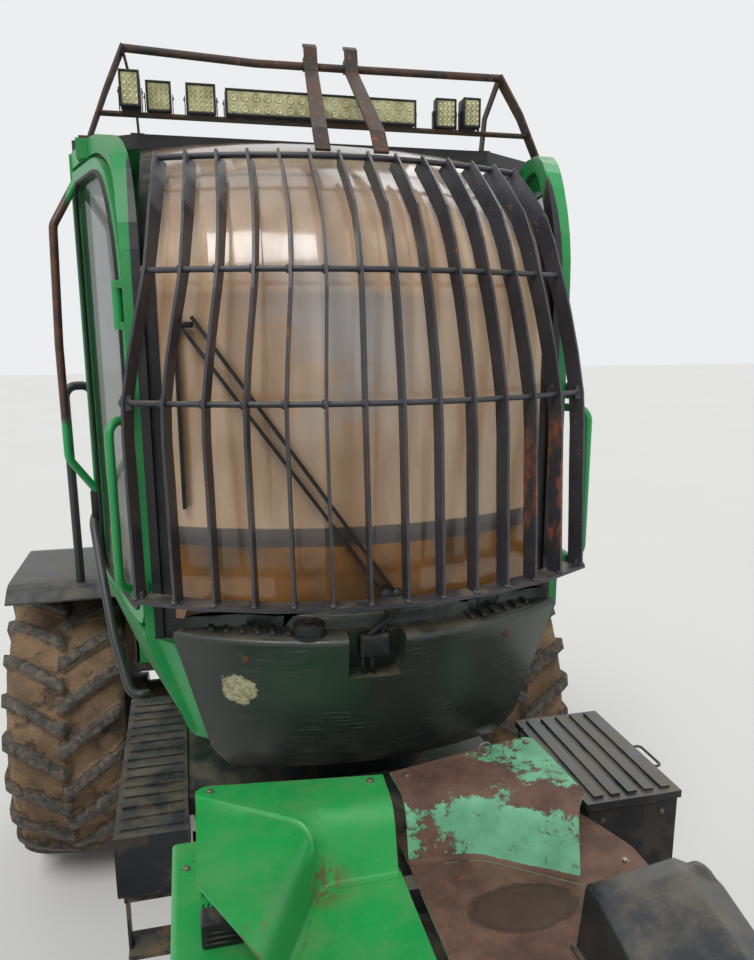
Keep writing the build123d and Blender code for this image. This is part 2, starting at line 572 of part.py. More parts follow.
HOOD_Y0 = 2490
HOOD_Y1 = REAR_END_Y - 80
HOOD_Z0 = DECK2_Z + MOVE_GAP
HOOD_SIDE = [(HOOD_Y0, HOOD_Z0), (HOOD_Y0, 2180), (HOOD_Y0 + 200, 2330), (3500, 2330), (HOOD_Y1 - 60, 2160),
             (HOOD_Y1, 2080), (HOOD_Y1, HOOD_Z0)]
HOOD_IN = [(HOOD_Y0 + 14, HOOD_Z0 - 1), (HOOD_Y0 + 14, 2174), (HOOD_Y0 + 204, 2316), (3499, 2316),
           (HOOD_Y1 - 67, 2147), (HOOD_Y1 - 14, 2073), (HOOD_Y1 - 14, HOOD_Z0 - 1)]
hood = side_plate(HOOD_SIDE, -HOOD_X, HOOD_X) - side_plate(HOOD_IN, -HOOD_X + 12, HOOD_X - 12)
HOOD_PIN_Y = HOOD_Y1 + 15
HOOD_PIN_Z = DECK2_Z + 22
hood_leaf = block(500, 560, HOOD_Y1 - 6, HOOD_PIN_Y, HOOD_PIN_Z - 8, HOOD_PIN_Z + 8)
hood_knuckle = bar((500, HOOD_PIN_Y, HOOD_PIN_Z), (560, HOOD_PIN_Y, HOOD_PIN_Z), 12)
hood_leaf = hood_leaf + hood_knuckle - bar((490, HOOD_PIN_Y, HOOD_PIN_Z), (570, HOOD_PIN_Y, HOOD_PIN_Z),
                                           6 + RUN_GAP)
GRILLE_Y0, GRILLE_Y1, GRILLE_Z0, GRILLE_Z1 = 3020, 3560, 1560, 2120
SLATS = 9
slat_step = (GRILLE_Z1 - GRILLE_Z0) / SLATS
side_window = block(HOOD_X - 20, HOOD_X + 1, GRILLE_Y0, GRILLE_Y1, GRILLE_Z0, GRILLE_Z1)
rear_window = block(-620, 620, HOOD_Y1 - 20, HOOD_Y1 + 1, GRILLE_Z0 - 120, 1960)
slats = []
for i in range(SLATS):
    z = GRILLE_Z0 + slat_step * i
    slats.append(both(cross_plate([(HOOD_X - 12, z), (HOOD_X - 9, z), (HOOD_X, z + slat_step * 0.7),
                                   (HOOD_X - 3, z + slat_step * 0.7)],
                                  GRILLE_Y0 - 1, GRILLE_Y1 + 1)))
    z = z - 120
    slats.append(side_plate([(HOOD_Y1 - 12, z), (HOOD_Y1 - 9, z), (HOOD_Y1, z + slat_step * 0.62),
                             (HOOD_Y1 - 3, z + slat_step * 0.62)],
                            -621, 621))
mullions = [block(x - 8, x + 8, HOOD_Y1 - 14, HOOD_Y1 - 2, GRILLE_Z0 - 121, 1961) for x in (-310, 0, 310)]
hood = join(hood - both(side_window) - rear_window + both(hood_leaf), *slats, *mullions)
save("hood", hood)

# Cab tub, frame, walls and glass


def ring_at(points, z):
    left = [(x, y, z) for x, y in points]
    return left + [(-x, y, z) for x, y in reversed(points)]


TUB_TOP = [(340, 560), (650, 680), CAB_FRONT, CAB_SIDE, CAB_REAR]
TUB_LOW = [(280, 640), (520, 720), (600, 790), (800, 1560), (690, 1980)]
INSET = 45


def inset(points, amount):
    """Plan points moved towards the cab's middle line and centre."""
    middle = 1350
    out = []
    for x, y in points:
        reach = hypot(x, y - middle)
        out.append((x - amount * x / reach, y - amount * (y - middle) / reach))
    return out


tub = ruled(ring_at(TUB_LOW, TUB_BOTTOM_Z), ring_at(TUB_TOP, SILL_Z))
tub = tub - ruled(ring_at(inset(TUB_LOW, INSET), TUB_BOTTOM_Z + 50),
                  ring_at(inset(TUB_TOP, INSET), SILL_Z + 1))


def tub_front_y(z):
    return TUB_LOW[0][1] + (TUB_TOP[0][1] - TUB_LOW[0][1]) * (z - TUB_BOTTOM_Z) / (SILL_Z - TUB_BOTTOM_Z)


TANK_BACK = [(1680, 280, 600), (2120, 330, 508)]


def tank_back_y(z):
    (z0, _, y0), (z1, _, y1) = TANK_BACK
    return y0 + (y1 - y0) * (z - z0) / (z1 - z0)


cradle = join(bar((0, PIVOT_Y, RING_TOP_Z), (0, PIVOT_Y, RING_TOP_Z + 60), RING_R),
              both(side_plate([(1000, RING_TOP_Z + 50), (900, TUB_BOTTOM_Z + 20), (1850, TUB_BOTTOM_Z + 20),
                               (1700, RING_TOP_Z + 50)], 250, 300)),
              block(-300, 300, 1050, 1090, RING_TOP_Z + 50, TUB_BOTTOM_Z + 20),
              block(-300, 300, 1600, 1640, RING_TOP_Z + 50, TUB_BOTTOM_Z + 20))
lower_pillar = strap([(612, 800, TUB_BOTTOM_Z + 20), (745, 762, SILL_Z + 20)], (-1, 0, 0), 58, 56)
lower_pillar = lower_pillar - block(500, 900, 600, 900, SILL_Z, SILL_Z + 100)
tank_mount = both(side_plate([(tank_back_y(1800) + SEAT_GAP, 1800), (tub_front_y(1800) + 10, 1800),
                              (tub_front_y(1880) + 10, 1880),
                              (tank_back_y(1880) + SEAT_GAP, 1880)], 140, 220))
save("cab_tub", join(tub, cradle, both(lower_pillar), tank_mount))


def wall_plane(p, q):
    """Upright plane on the plan line from p to q, its normal outwards."""
    along = Vector(q[0] - p[0], q[1] - p[1], 0).normalized()
    return Plane(origin=(p[0], p[1], 0), x_dir=along, z_dir=along.cross(Vector(0, 0, 1)))


def panel(p, q, outline, thick, inset_by=0):
    plane = wall_plane(p, q).offset(-inset_by)
    return extrude(plane * Polygon(*outline, align=None), amount=thick, dir=-plane.z_dir)


def shrink(outline, amount):
    """Outline moved inwards by the same amount all round."""
    face = offset(Polygon(*outline, align=None), -amount, kind=Kind.INTERSECTION)
    return [(v.X, v.Y) for v in face.wire().vertices()]


QUARTER_RUN = hypot(CAB_REAR[0] - CAB_SIDE[0], CAB_REAR[1] - CAB_SIDE[1])
WALL_Z0 = SILL_Z + SEAT_GAP
EAVE_Z = ROOF_Z - SEAT_GAP
DOOR_OUTLINE = eased([(31, SILL_Z + 6), (806, SILL_Z + 6), (806, 3640), (296, 3617), (143, 3527),
                      (31, 3310)], 110, keep=(2,))
SIDE_OUTLINE = eased([(4, WALL_Z0), (850, WALL_Z0), (850, 3668), (290, 3642), (120, 3545), (4, 3330)], 110,
                     keep=(0, 1, 2))
DOOR_RIM = 48
PILLAR_PATH = eased([(738, 764, WALL_Z0), (738, 764, 3330), (752, 880, 3560), (800, 1050, 3660),
                     (905, 1420, 3680),
                     (952, 1600, EAVE_Z - 28), (800, 2008, EAVE_Z - 28)], 120, keep=(0, 4, 5, 6))
pillar = strap(PILLAR_PATH, (-1, 0, 0), 58, 56)
side_post = strap([(957, 1600, WALL_Z0), (952, 1600, EAVE_Z - 4)], (-1, 0, 0), 58, 60)
rear_post = strap([(800, 1990, WALL_Z0), (800, 1990, EAVE_Z - 4)], (-1, 0, 0), 58, 56)
side_frame = panel(CAB_FRONT, CAB_SIDE, SIDE_OUTLINE, WALL_T) - panel(CAB_FRONT, CAB_SIDE,
    shrink(DOOR_OUTLINE, DOOR_RIM), WALL_T)
QUARTER = [(20, WALL_Z0), (QUARTER_RUN - 20, WALL_Z0), (QUARTER_RUN - 20, EAVE_Z), (20, EAVE_Z)]
QUARTER_WINDOW = [(70, 2420), (QUARTER_RUN - 70, 2420), (QUARTER_RUN - 70, 3600), (70, 3600)]
quarter_frame = panel(CAB_SIDE, CAB_REAR, QUARTER, WALL_T) - panel(CAB_SIDE, CAB_REAR, QUARTER_WINDOW,
    WALL_T)
REAR_RUN = 2 * CAB_REAR[0]
REAR_OUTLINE = [(20, WALL_Z0), (REAR_RUN - 20, WALL_Z0), (REAR_RUN - 20, EAVE_Z), (20, EAVE_Z)]
REAR_WINDOW = [(110, 2500), (REAR_RUN - 110, 2500), (REAR_RUN - 110, 3580), (110, 3580)]
rear_q = (-CAB_REAR[0], CAB_REAR[1])
rear_frame_panel = panel(CAB_REAR, rear_q, REAR_OUTLINE, WALL_T) - panel(CAB_REAR, rear_q, REAR_WINDOW,
    WALL_T)
rack_pad = block(812, 892, 1250, 1340, 3640, RACK_PAD_Z)


def guard_boss(z, y):
    return bar((738, y, z), (738, 790, z), 28)


grab_rail = bent_tube([(738, 764, 2780), (802, 680, 2780), (802, 680, 2260), (738, 764, 2210)], 14, 45)
HINGE_X, HINGE_Y = 758, 792
HINGE_PIN_R = 8
KNUCKLE_R = 15
KNUCKLES = ((2330, 2430), (3080, 3180))


def hinge_lugs(z0, z1):
    """Pin and its two lugs on the pillar, above and below a door knuckle."""
    pin = bar((HINGE_X, HINGE_Y, z0 - 20), (HINGE_X, HINGE_Y, z1 + 20), HINGE_PIN_R)
    lugs = []
    for low, high in ((z0 - 24, z0 - SEAT_GAP), (z1 + SEAT_GAP, z1 + 24)):
        lugs.append(bar((HINGE_X, HINGE_Y, low), (HINGE_X, HINGE_Y, high), KNUCKLE_R))
        lugs.append(block(730, HINGE_X, 768, HINGE_Y, low, high))
    return join(pin, *lugs)


left_side = join(pillar, side_post, rear_post, quarter_frame, rack_pad, guard_boss(GUARD_EAR_Z[1], 712),
                 guard_boss(GUARD_EAR_Z[0], 650), grab_rail)
door_lugs = [mirror(hinge_lugs(z0, z1), about=Plane.YZ) for z0, z1 in KNUCKLES]
cab_frame = join(left_side, mirror(left_side, about=Plane.YZ), side_frame, rear_frame_panel, *door_lugs)
save("cab_frame", cab_frame)

left_glass = panel(CAB_FRONT, CAB_SIDE, shrink(DOOR_OUTLINE, DOOR_RIM + 1), GLASS_T, 12)
quarter_glass = panel(CAB_SIDE, CAB_REAR, shrink(QUARTER_WINDOW, SEAT_GAP), GLASS_T, 12)
rear_glass = panel(CAB_REAR, rear_q, shrink(REAR_WINDOW, SEAT_GAP), GLASS_T, 12)
save("cab_glass", left_glass, quarter_glass, mirror(quarter_glass, about=Plane.YZ), rear_glass)

door = panel(CAB_FRONT, CAB_SIDE, DOOR_OUTLINE, WALL_T) - panel(CAB_FRONT, CAB_SIDE,
    shrink(DOOR_OUTLINE, DOOR_RIM), WALL_T)
door_glass = panel(CAB_FRONT, CAB_SIDE, shrink(DOOR_OUTLINE, DOOR_RIM + 1), GLASS_T, 12)
RAIL_END_Y = 1524
rail_end_x = CAB_FRONT[0] + (CAB_SIDE[0] - CAB_FRONT[0]) * (RAIL_END_Y - CAB_FRONT[1]) / (CAB_SIDE[1] - CAB_FRONT[1]) - 4
door_rail = bent_tube([
    (rail_end_x, RAIL_END_Y, 3600), (rail_end_x + 84, 1470, 3440), (rail_end_x + 96, 1450, 3000),
    (rail_end_x + 96, 1450, 2560), (rail_end_x, RAIL_END_Y, 2400)], 16, 60)
knuckles = []
for z0, z1 in KNUCKLES:
    knuckle = bar((HINGE_X, HINGE_Y, z0), (HINGE_X, HINGE_Y, z1), KNUCKLE_R) + block(738, 757, 801, 836, z0,
        z1)
    knuckles.append(knuckle - bar((HINGE_X, HINGE_Y, z0 - 5), (HINGE_X, HINGE_Y, z1 + 5),
                                  HINGE_PIN_R + RUN_GAP))
save("door", mirror(join(door, door_rail, *knuckles), about=Plane.YZ))
save("door_glass", mirror(door_glass, about=Plane.YZ))

# Windscreen: one sheet, upright below, bent back over the operator


def screen_y(x):
    return SCREEN_FRONT_Y + SCREEN_PLAN_R - sqrt(SCREEN_PLAN_R ** 2 - x ** 2)


def screen_section(x, outer, inner, drop=0):
    """Closed band in the plane at x, between two offsets inwards from the outer skin."""
    y0 = screen_y(x)
    turn = radians(SCREEN_BEND_DEG)
    c1 = (y0 + SCREEN_R1, SCREEN_BEND_Z)
    c2 = (c1[0] + (SCREEN_R2 - SCREEN_R1) * cos(turn), c1[1] - (SCREEN_R2 - SCREEN_R1) * sin(turn))
    last = acos((c2[0] - SCREEN_TOP_Y) / SCREEN_R2)

    def skin(depth):
        def on(c, r, a):
            return (x, c[0] - (r - depth) * cos(a), c[1] + (r - depth) * sin(a))
        return [(x, y0 + depth, SCREEN_BOTTOM_Z - drop), on(c1, SCREEN_R1, 0), on(c1, SCREEN_R1, turn / 2),
                on(c1, SCREEN_R1, turn), on(c2, SCREEN_R2, (turn + last) / 2), on(c2, SCREEN_R2, last)]
    a, b = skin(outer), skin(inner)
    edges = [Line(a[0], a[1]), ThreePointArc(a[1], a[2], a[3]), ThreePointArc(a[3], a[4], a[5]),
             Line(a[5], b[5]),
             ThreePointArc(b[5], b[4], b[3]), ThreePointArc(b[3], b[2], b[1]), Line(b[1], b[0]),
             Line(b[0], a[0])]
    return Wire(edges)


def screen_band(x_list, outer, inner, drop=0):
    return Solid.make_loft([screen_section(x, outer, inner, drop) for x in x_list], ruled=True)


screen_x = [SCREEN_HALF * i / 4 for i in range(-4, 5)]
save("windscreen", screen_band(screen_x, 0, SCREEN_T))

SILL_BAR = 69.7
side_band = screen_band([SCREEN_HALF + SEAT_GAP, BAND_X], -4, 30, SILL_BAR)
sill_x = [0, SCREEN_HALF / 2, SCREEN_HALF, BAND_X]
sill_ring = [(x, screen_y(x) - 6) for x in sill_x] + [(x, screen_y(x) + 34) for x in reversed(sill_x)]
sill_bar = flat_plate(sill_ring, SCREEN_BOTTOM_Z - SILL_BAR, SCREEN_BOTTOM_Z - SEAT_GAP)
save("screen_frame", both(join(side_band, sill_bar)))

ROOF_PLAN = [(690, 1424), (940, 1590), (800, 2026)]
roof = flat_plate([(x, y) for x, y in ROOF_PLAN] + [(-x, y) for x, y in reversed(ROOF_PLAN)], ROOF_Z,
                  ROOF_Z + ROOF_T)
save("cab_roof", roof)

# Washer tank across the cab's front, below the windscreen


def tank_ring(front_x, front_y, mid_y, back, z):
    """Tank outline: an arc at the front and a broken line at the back."""
    a, m, b = (-front_x, front_y, z), (0, mid_y, z), (front_x, front_y, z)
    corners = [(back[0][0], back[0][1], z), (back[1][0], back[1][1], z), (-back[1][0], back[1][1], z),
               (-back[0][0], back[0][1], z)]
    return Wire([ThreePointArc(a, m, b), Line(b, corners[0]), Line(corners[0], corners[1]),
                 Line(corners[1], corners[2]), Line(corners[2], corners[3]), Line(corners[3], a)])


TANK_TOP_Z = 2178
tank = Solid.make_loft([
    tank_ring(480, 690, 600, ((460, 716), (260, 652)), 1575),
    tank_ring(545, 650, 520, ((500, 690), (280, 600)), 1680),
    tank_ring(648, 575, 408, ((600, 640), (330, 508)), 2120),
    tank_ring(640, 582, 420, ((600, 640), (330, 508)), TANK_TOP_Z)], ruled=True)
cap = bar((-75, 468, TANK_TOP_Z - 4), (-75, 468, TANK_TOP_Z + 44), 44)
ribs = []
for side in (-1, 1):
    for i in range(6):
        x = side * (250 + i * 46)
        y = screen_y(x) - 140
        ribs.append(block(x - 9, x + 9, y, y + 74, TANK_TOP_Z - 4, TANK_TOP_Z + 9))
save("washer_tank", join(tank, cap, *ribs))

# Front guard: upright flat bars on round cross rails

LEVELS = [  # z, half width, y of the curve's middle
    (2237, 751, 345), (2600, 756, 378), (2841, 754, 402), (3100, 700, 445), (3237, 668, 483),
          (3430, 645, 586),
    (3620, 628, 830)]


def guard_point(level, share):
    z, half, mid = level
    x = half * share
    return (x, mid + GUARD_R - sqrt(GUARD_R ** 2 - x ** 2), z)


def guard_rail(level, radius, back, down):
    a, m, b = ((p[0], p[1] + back, p[2] - down) for p in (guard_point(level, share) for share in (-1, 0, 1)))
    path = ThreePointArc(a, m, b)
    return sweep(Plane(origin=path @ 0, z_dir=path % 0) * Circle(radius), path=path)


def between(before, low, high, after):
    """Level halfway from low to high on the smooth curve through four levels."""
    return tuple((9 * (b + c) - a - d) / 16 for a, b, c, d in zip(before, low, high, after))


BAR_LEVELS = [LEVELS[0]]
for i in range(len(LEVELS) - 1):
    around = LEVELS[max(i - 1, 0)], LEVELS[i], LEVELS[i + 1], LEVELS[min(i + 2, len(LEVELS) - 1)]
    BAR_LEVELS += [between(*around), LEVELS[i + 1]]
bars = []
for i in range(GUARD_BARS):
    share = -1 + 2 * i / (GUARD_BARS - 1)
    inward = (-share * LEVELS[2][1], GUARD_R, 0)
    bars.append(strap([guard_point(level, share) for level in BAR_LEVELS], inward, BAR_DEPTH, BAR_T))


def foot_section(share):
    """Section of the flat foot rail that the bars stand on, at a share of its half width."""
    x, y, z = guard_point(LEVELS[0], share)
    front, back = y - 4, y + BAR_DEPTH + 6
    return [(x, front, z - 6), (x, front, z + 6), (x * 0.94, back, z + 6), (x * 0.94, back, z - 6)]


rail_low = ruled(*[foot_section(share) for share in (-1.02, -0.75, -0.45, -0.15, 0.15, 0.45, 0.75, 1.02)])
rails = [guard_rail(LEVELS[2], RAIL_R, 25, 0), guard_rail(LEVELS[4], RAIL_R, 22, 10),
         guard_rail(LEVELS[6], RAIL_R + 1, 4, 20)]
ear_hi, ear_lo = GUARD_EAR_Z[1], GUARD_EAR_Z[0]
ears = both(join(block(728, 748, 640, 712 - SEAT_GAP, ear_hi - 22, ear_hi + 22),
                 block(728, 748, 585, 650 - SEAT_GAP, ear_lo - 8, ear_lo + 26)))
save("front_guard", join(rail_low, *bars, *rails, ears))

# Light rack on the roof's front, with the two flat arms that hold the guard's top

rack_tube = bent_tube([(-RACK_HALF, RACK_Y, RACK_Z), (-250, RACK_Y - 20, RACK_Z - 26),
                       (120, RACK_Y - 10, RACK_Z - 20),
                       (RACK_HALF, RACK_Y, RACK_Z - 10)], RACK_TUBE_R, 200)
ROOF_TOP_Z = ROOF_Z + ROOF_T
posts = []
for side in (-1, 1):
    top = (side * RACK_HALF, RACK_Y, RACK_Z - (10 if side > 0 else 0))
    inward = (-side, 0, 0)
    posts.append(strap([top, (side * 790, 1330, 3880), (side * 852, 1295, RACK_PAD_Z + 9)], inward, 8, 50))
    posts.append(strap([top, (side * 695, 1470, 3900), (side * 690, 1490, ROOF_TOP_Z + 6)], inward, 8, 40))
    posts.append(Pos(side * 852, 1295, RACK_PAD_Z + SEAT_GAP + 5) * Box(60, 70, 10))
    posts.append(Pos(side * 690, 1490, ROOF_TOP_Z + SEAT_GAP + 5) * Box(50, 60, 10))
lamp_rail = block(-820, 820, LAMP_RAIL_Y - 25, LAMP_RAIL_Y + 25, LAMP_RAIL_Z - 8, LAMP_RAIL_Z)
GUARD_TOP_Y, GUARD_TOP_Z = LEVELS[-1][2] + 6, LEVELS[-1][0] - 20 + RAIL_R + 1 + SEAT_GAP
ARM_FLAT_T = 10
arms = []
for top_x, foot_x in ((-45, -97), (110, 97)):
    line = [(top_x, RACK_Y + 4, RACK_Z + 62), (top_x, RACK_Y - 26, RACK_Z + 44),
            (top_x, RACK_Y - 44, RACK_Z - 40),
            (foot_x, GUARD_TOP_Y + 60, GUARD_TOP_Z + 90),
            (foot_x, GUARD_TOP_Y, GUARD_TOP_Z + ARM_FLAT_T + 1)]
    arms.append(strap(line, (0, 0.5, -1), ARM_FLAT_T, 50))
    arms.append(block(top_x - 25, top_x + 25, RACK_Y - 34, RACK_Y + 6, RACK_Z - 36, RACK_Z + 10))
save("light_rack", join(rack_tube, *posts, lamp_rail, *arms))

LAMPS = [  # x low, x high, height, depth along Y
    (-735, -665, 120, 110), (-648, -560, 104, 60), (-510, -405, 104, 60), (-372, 344, 92, 70),
         (424, 508, 108, 60),
    (526, 596, 108, 90)]
lamps = [block(x0, x1, LAMP_RAIL_Y - d + 20, LAMP_RAIL_Y + 20, LAMP_RAIL_Z + SEAT_GAP,
               LAMP_RAIL_Z + h) for x0, x1, h, d in LAMPS]
save("work_lamps", *lamps)

WIPER_Z = 2214
spindle = bar((40, SCREEN_FRONT_Y - 46, WIPER_Z), (40, SCREEN_FRONT_Y + 0.8, WIPER_Z), 22)
wiper_arms = []
for start, end in ((26, -592), (62, -540)):
    steps = [start + (end - start) * i / 5 for i in range(6)]
    wiper_arms.append(strap([(x, screen_y(x) - 40 + 3 * i, WIPER_Z + i * 176) for i, x in enumerate(steps)],
                            (0, 1, 0), 10, 12))
blade_x = -590
blade = block(blade_x - 6, blade_x + 6, screen_y(blade_x) - 30, screen_y(blade_x) - 6, 2500, 3076)
wiper_head = bar((-594, screen_y(592) - 20, 3070), (-538, screen_y(540) - 20, 3070), 9)
save("wiper", join(spindle, *wiper_arms, blade, wiper_head))

# Seat and console

seat_frame = join(block(-160, 160, 1480, 1760, TUB_BOTTOM_Z + 50 + SEAT_GAP, 2150),
                  block(-230, 230, 1420, 1860, 2150, 2190),
                  block(-230, 230, 1800, 1850, 2190, 2850), both(block(300, 380, 1380, 1760, 2380, 2440)),
                  both(block(250, 310, 1650, 1760, 2160, 2400)),
                  both(block(200, 300, 1700, 1760, 2160, 2189)))
save("seat_frame", seat_frame)
seat = block(-235, 235, 1360, 1790, 2190 + SEAT_GAP, 2310)
backrest = block(-225, 225, 1690, 1800 - SEAT_GAP, 2316, 2980)
save("seat_cushions", seat, backrest)

# Crane: pillar, main boom, jib, extension, cylinders


def polar(origin, deg, length, rise=0.0):
    """Point in the middle plane at a distance along a direction that climbs forward by deg."""
    e = radians(deg)
    return (origin[0] - length * cos(e) + rise * sin(e), origin[1] + length * sin(e) + rise * cos(e))


BOOM_A = (BOOM_PIVOT_Y, BOOM_PIVOT_Z)
BOOM_B = polar(BOOM_A, BOOM_REST_DEG, BOOM_LEN)
JIB_DEG = -JIB_REST_DEG
TIP_C = polar(BOOM_B, JIB_DEG, TIP_LEN)


def beam_plate(origin, deg, outline, x0, x1):
    """Plate whose outline is given along and across a direction from origin."""
    return side_plate([polar(origin, deg, s, r) for s, r in outline], x0, x1)


def cross_pin(at, x0, x1, radius):
    return bar((x0, at[0], at[1]), (x1, at[0], at[1]), radius)


PILLAR_TOP_Z = 1980
pillar_body = bar((0, BOGIE_Y, PILLAR_BASE_Z), (0, BOGIE_Y, PILLAR_TOP_Z), PILLAR_R)
flange = bar((0, BOGIE_Y, PILLAR_BASE_Z), (0, BOGIE_Y, PILLAR_BASE_Z + 50), PILLAR_R + 50)
CHEEK_X = BOOM_W / 2 + MOVE_GAP
cheek_outline = [(BOGIE_Y - 180, 1900), (BOOM_PIVOT_Y - 95, BOOM_PIVOT_Z - 40),
                 (BOOM_PIVOT_Y - 60, BOOM_PIVOT_Z + 85),
                 (BOOM_PIVOT_Y + 60, BOOM_PIVOT_Z + 85), (BOOM_PIVOT_Y + 110, BOOM_PIVOT_Z - 20),
                 (BOGIE_Y + 190, 1900)]
cheeks = both(side_plate(cheek_outline, CHEEK_X, CHEEK_X + 30))
boom_pin = cross_pin(BOOM_A, -CHEEK_X - 40, CHEEK_X + 40, PIN_R)
LIFT_Y, LIFT_Z = LIFT_BASE
lift_lugs = both(side_plate([(BOGIE_Y - 150, LIFT_Z - 55), (LIFT_Y - 45, LIFT_Z - 55), (LIFT_Y - 65, LIFT_Z),
                             (LIFT_Y - 35, LIFT_Z + 52), (BOGIE_Y - 150, LIFT_Z + 60)],
                            CYL_EYE_W / 2 + MOVE_GAP, CYL_EYE_W / 2 + MOVE_GAP + 24))
lift_pin = cross_pin(LIFT_BASE, -80, 80, PIN_R - 5)
save("crane_pillar", join(pillar_body, flange, cheeks, boom_pin, lift_lugs, lift_pin))

half_h = BOOM_H / 2
boom_outline = [(-90, -70), (-90, 70), (120, half_h), (1500, half_h), (BOOM_LEN - 120, half_h - 30),
                (BOOM_LEN + 90, 70), (BOOM_LEN + 90, -70),
                (BOOM_LEN - 200, -half_h + 20), (900, -half_h - 20), (150, -half_h)]
boom = beam_plate(BOOM_A, BOOM_REST_DEG, boom_outline, -BOOM_W / 2, BOOM_W / 2)
boom = boom - cross_pin(BOOM_A, -200, 200, PIN_R + RUN_GAP)
EAR_X = CYL_EYE_W / 2 + MOVE_GAP
LIFT_EAR_X = LIFT_BARREL_R + MOVE_GAP
LIFT_EAR_END = LIFT_EYE_DROP + 60
lift_ears = both(beam_plate(BOOM_A, BOOM_REST_DEG, [
    (LIFT_EYE_S - 160, -120), (LIFT_EYE_S + 160, -120), (LIFT_EYE_S + 70, -LIFT_EAR_END),
                                                    (LIFT_EYE_S - 70, -LIFT_EAR_END)],
    LIFT_EAR_X, LIFT_EAR_X + CYL_LUG_T))
jib_base_ears = both(beam_plate(BOOM_A, BOOM_REST_DEG, [
    (JIB_BASE_S - 140, 110), (JIB_BASE_S + 62, 110), (JIB_BASE_S + 62, JIB_BASE_RISE - 25),
    (JIB_BASE_S + 38, JIB_BASE_RISE + 46), (JIB_BASE_S - 46, JIB_BASE_RISE + 46)], EAR_X, EAR_X + CYL_LUG_T))
JIB_BASE = polar(BOOM_A, BOOM_REST_DEG, JIB_BASE_S, JIB_BASE_RISE)
jib_base_pin = cross_pin(JIB_BASE, -EAR_X - 20, EAR_X + 20, PIN_R - 7)
FORK_IN = JIB_W / 2 - 16
fork_slot = [(BOOM_LEN - 250, -200), (BOOM_LEN + 200, -200), (BOOM_LEN + 200, 200), (BOOM_LEN - 420, 200),
             (BOOM_LEN - 420, 30),
             (BOOM_LEN - 250, 30)]
boom = boom - beam_plate(BOOM_A, BOOM_REST_DEG, fork_slot, -FORK_IN, FORK_IN)
BOSS_R, BOSS_T = 82, 12
pin_bosses = both(cross_pin(BOOM_B, BOOM_W / 2, BOOM_W / 2 + BOSS_T, BOSS_R))
side_ribs = both(beam_plate(BOOM_A, BOOM_REST_DEG, [(300, -22), (300, 22), (BOOM_LEN - 500, 16),
                                                    (BOOM_LEN - 500, -16)],
                            BOOM_W / 2 - 1, BOOM_W / 2 + 8))
boom = join(boom, lift_ears, jib_base_ears, jib_base_pin, pin_bosses, side_ribs)
boom = boom + cross_pin(BOOM_B, -BOOM_W / 2 - BOSS_T - 6, BOOM_W / 2 + BOSS_T + 6, PIN_R)
save("main_boom", boom)

HORN = polar(BOOM_B, BOOM_REST_DEG, HORN_R * cos(radians(HORN_DEG)), HORN_R * sin(radians(HORN_DEG)))
NECK_X = FORK_IN - MOVE_GAP
jib_neck = beam_plate(BOOM_B, JIB_DEG, [(-70, -80), (-70, 80), (340, 100), (340, -100)], -NECK_X, NECK_X)
jib_box = beam_plate(BOOM_B, JIB_DEG, [(265, -JIB_H / 2), (265, JIB_H / 2), (JIB_LEN, JIB_H / 2),
                                       (JIB_LEN, -JIB_H / 2)], -JIB_W / 2, JIB_W / 2)
jib_hollow = beam_plate(BOOM_B, JIB_DEG, [(350, -EXT_H / 2 - 6), (350, EXT_H / 2 + 6),
                                          (JIB_LEN + 9, EXT_H / 2 + 6), (JIB_LEN + 9, -EXT_H / 2 - 6)],
                        -EXT_W / 2 - 6, EXT_W / 2 + 6)
pads = join(beam_plate(BOOM_B, JIB_DEG, [(JIB_LEN - 120, EXT_H / 2 + SEAT_GAP), (JIB_LEN - 120,
    EXT_H / 2 + 8), (JIB_LEN, EXT_H / 2 + 8), (JIB_LEN, EXT_H / 2 + SEAT_GAP)],
                       -EXT_W / 2, EXT_W / 2),
            beam_plate(BOOM_B, JIB_DEG, [(JIB_LEN - 120, -EXT_H / 2 - SEAT_GAP), (JIB_LEN - 120,
                -EXT_H / 2 - 8), (JIB_LEN, -EXT_H / 2 - 8), (JIB_LEN, -EXT_H / 2 - SEAT_GAP)],
                       -EXT_W / 2, EXT_W / 2))
horn_plates = both(side_plate([polar(BOOM_B, JIB_DEG, 60, 95), polar(BOOM_B, JIB_DEG, 60, -95),
                               polar(HORN, JIB_DEG, -50, -45), polar(HORN, JIB_DEG, -60, 20),
                               polar(HORN, JIB_DEG, -10, 55)],
                              EAR_X, EAR_X + CYL_LUG_T))
jib = join(jib_neck - cross_pin(BOOM_B, -200, 200, PIN_R + RUN_GAP), jib_box - jib_hollow, pads)
horn_plates = horn_plates - cross_pin(BOOM_B, -200, 200, PIN_R + RUN_GAP)
save("jib", join(jib, horn_plates))

EXT_END = TIP_LEN - 60
extension = beam_plate(BOOM_B, JIB_DEG, [(360, -EXT_H / 2), (360, EXT_H / 2), (EXT_END - 60, EXT_H / 2),
                                         (EXT_END, 60), (EXT_END, -60), (EXT_END - 60, -EXT_H / 2)],
                       -EXT_W / 2, EXT_W / 2)
tip_ears = both(beam_plate(BOOM_B, JIB_DEG, [(EXT_END - 20, -50), (EXT_END - 20, 50), (TIP_LEN, 45),
                                             (TIP_LEN + 40, 0), (TIP_LEN, -45)], 46, 66))
extension = join(extension, tip_ears, cross_pin(TIP_C, -74, 74, 22))
save("extension", extension)


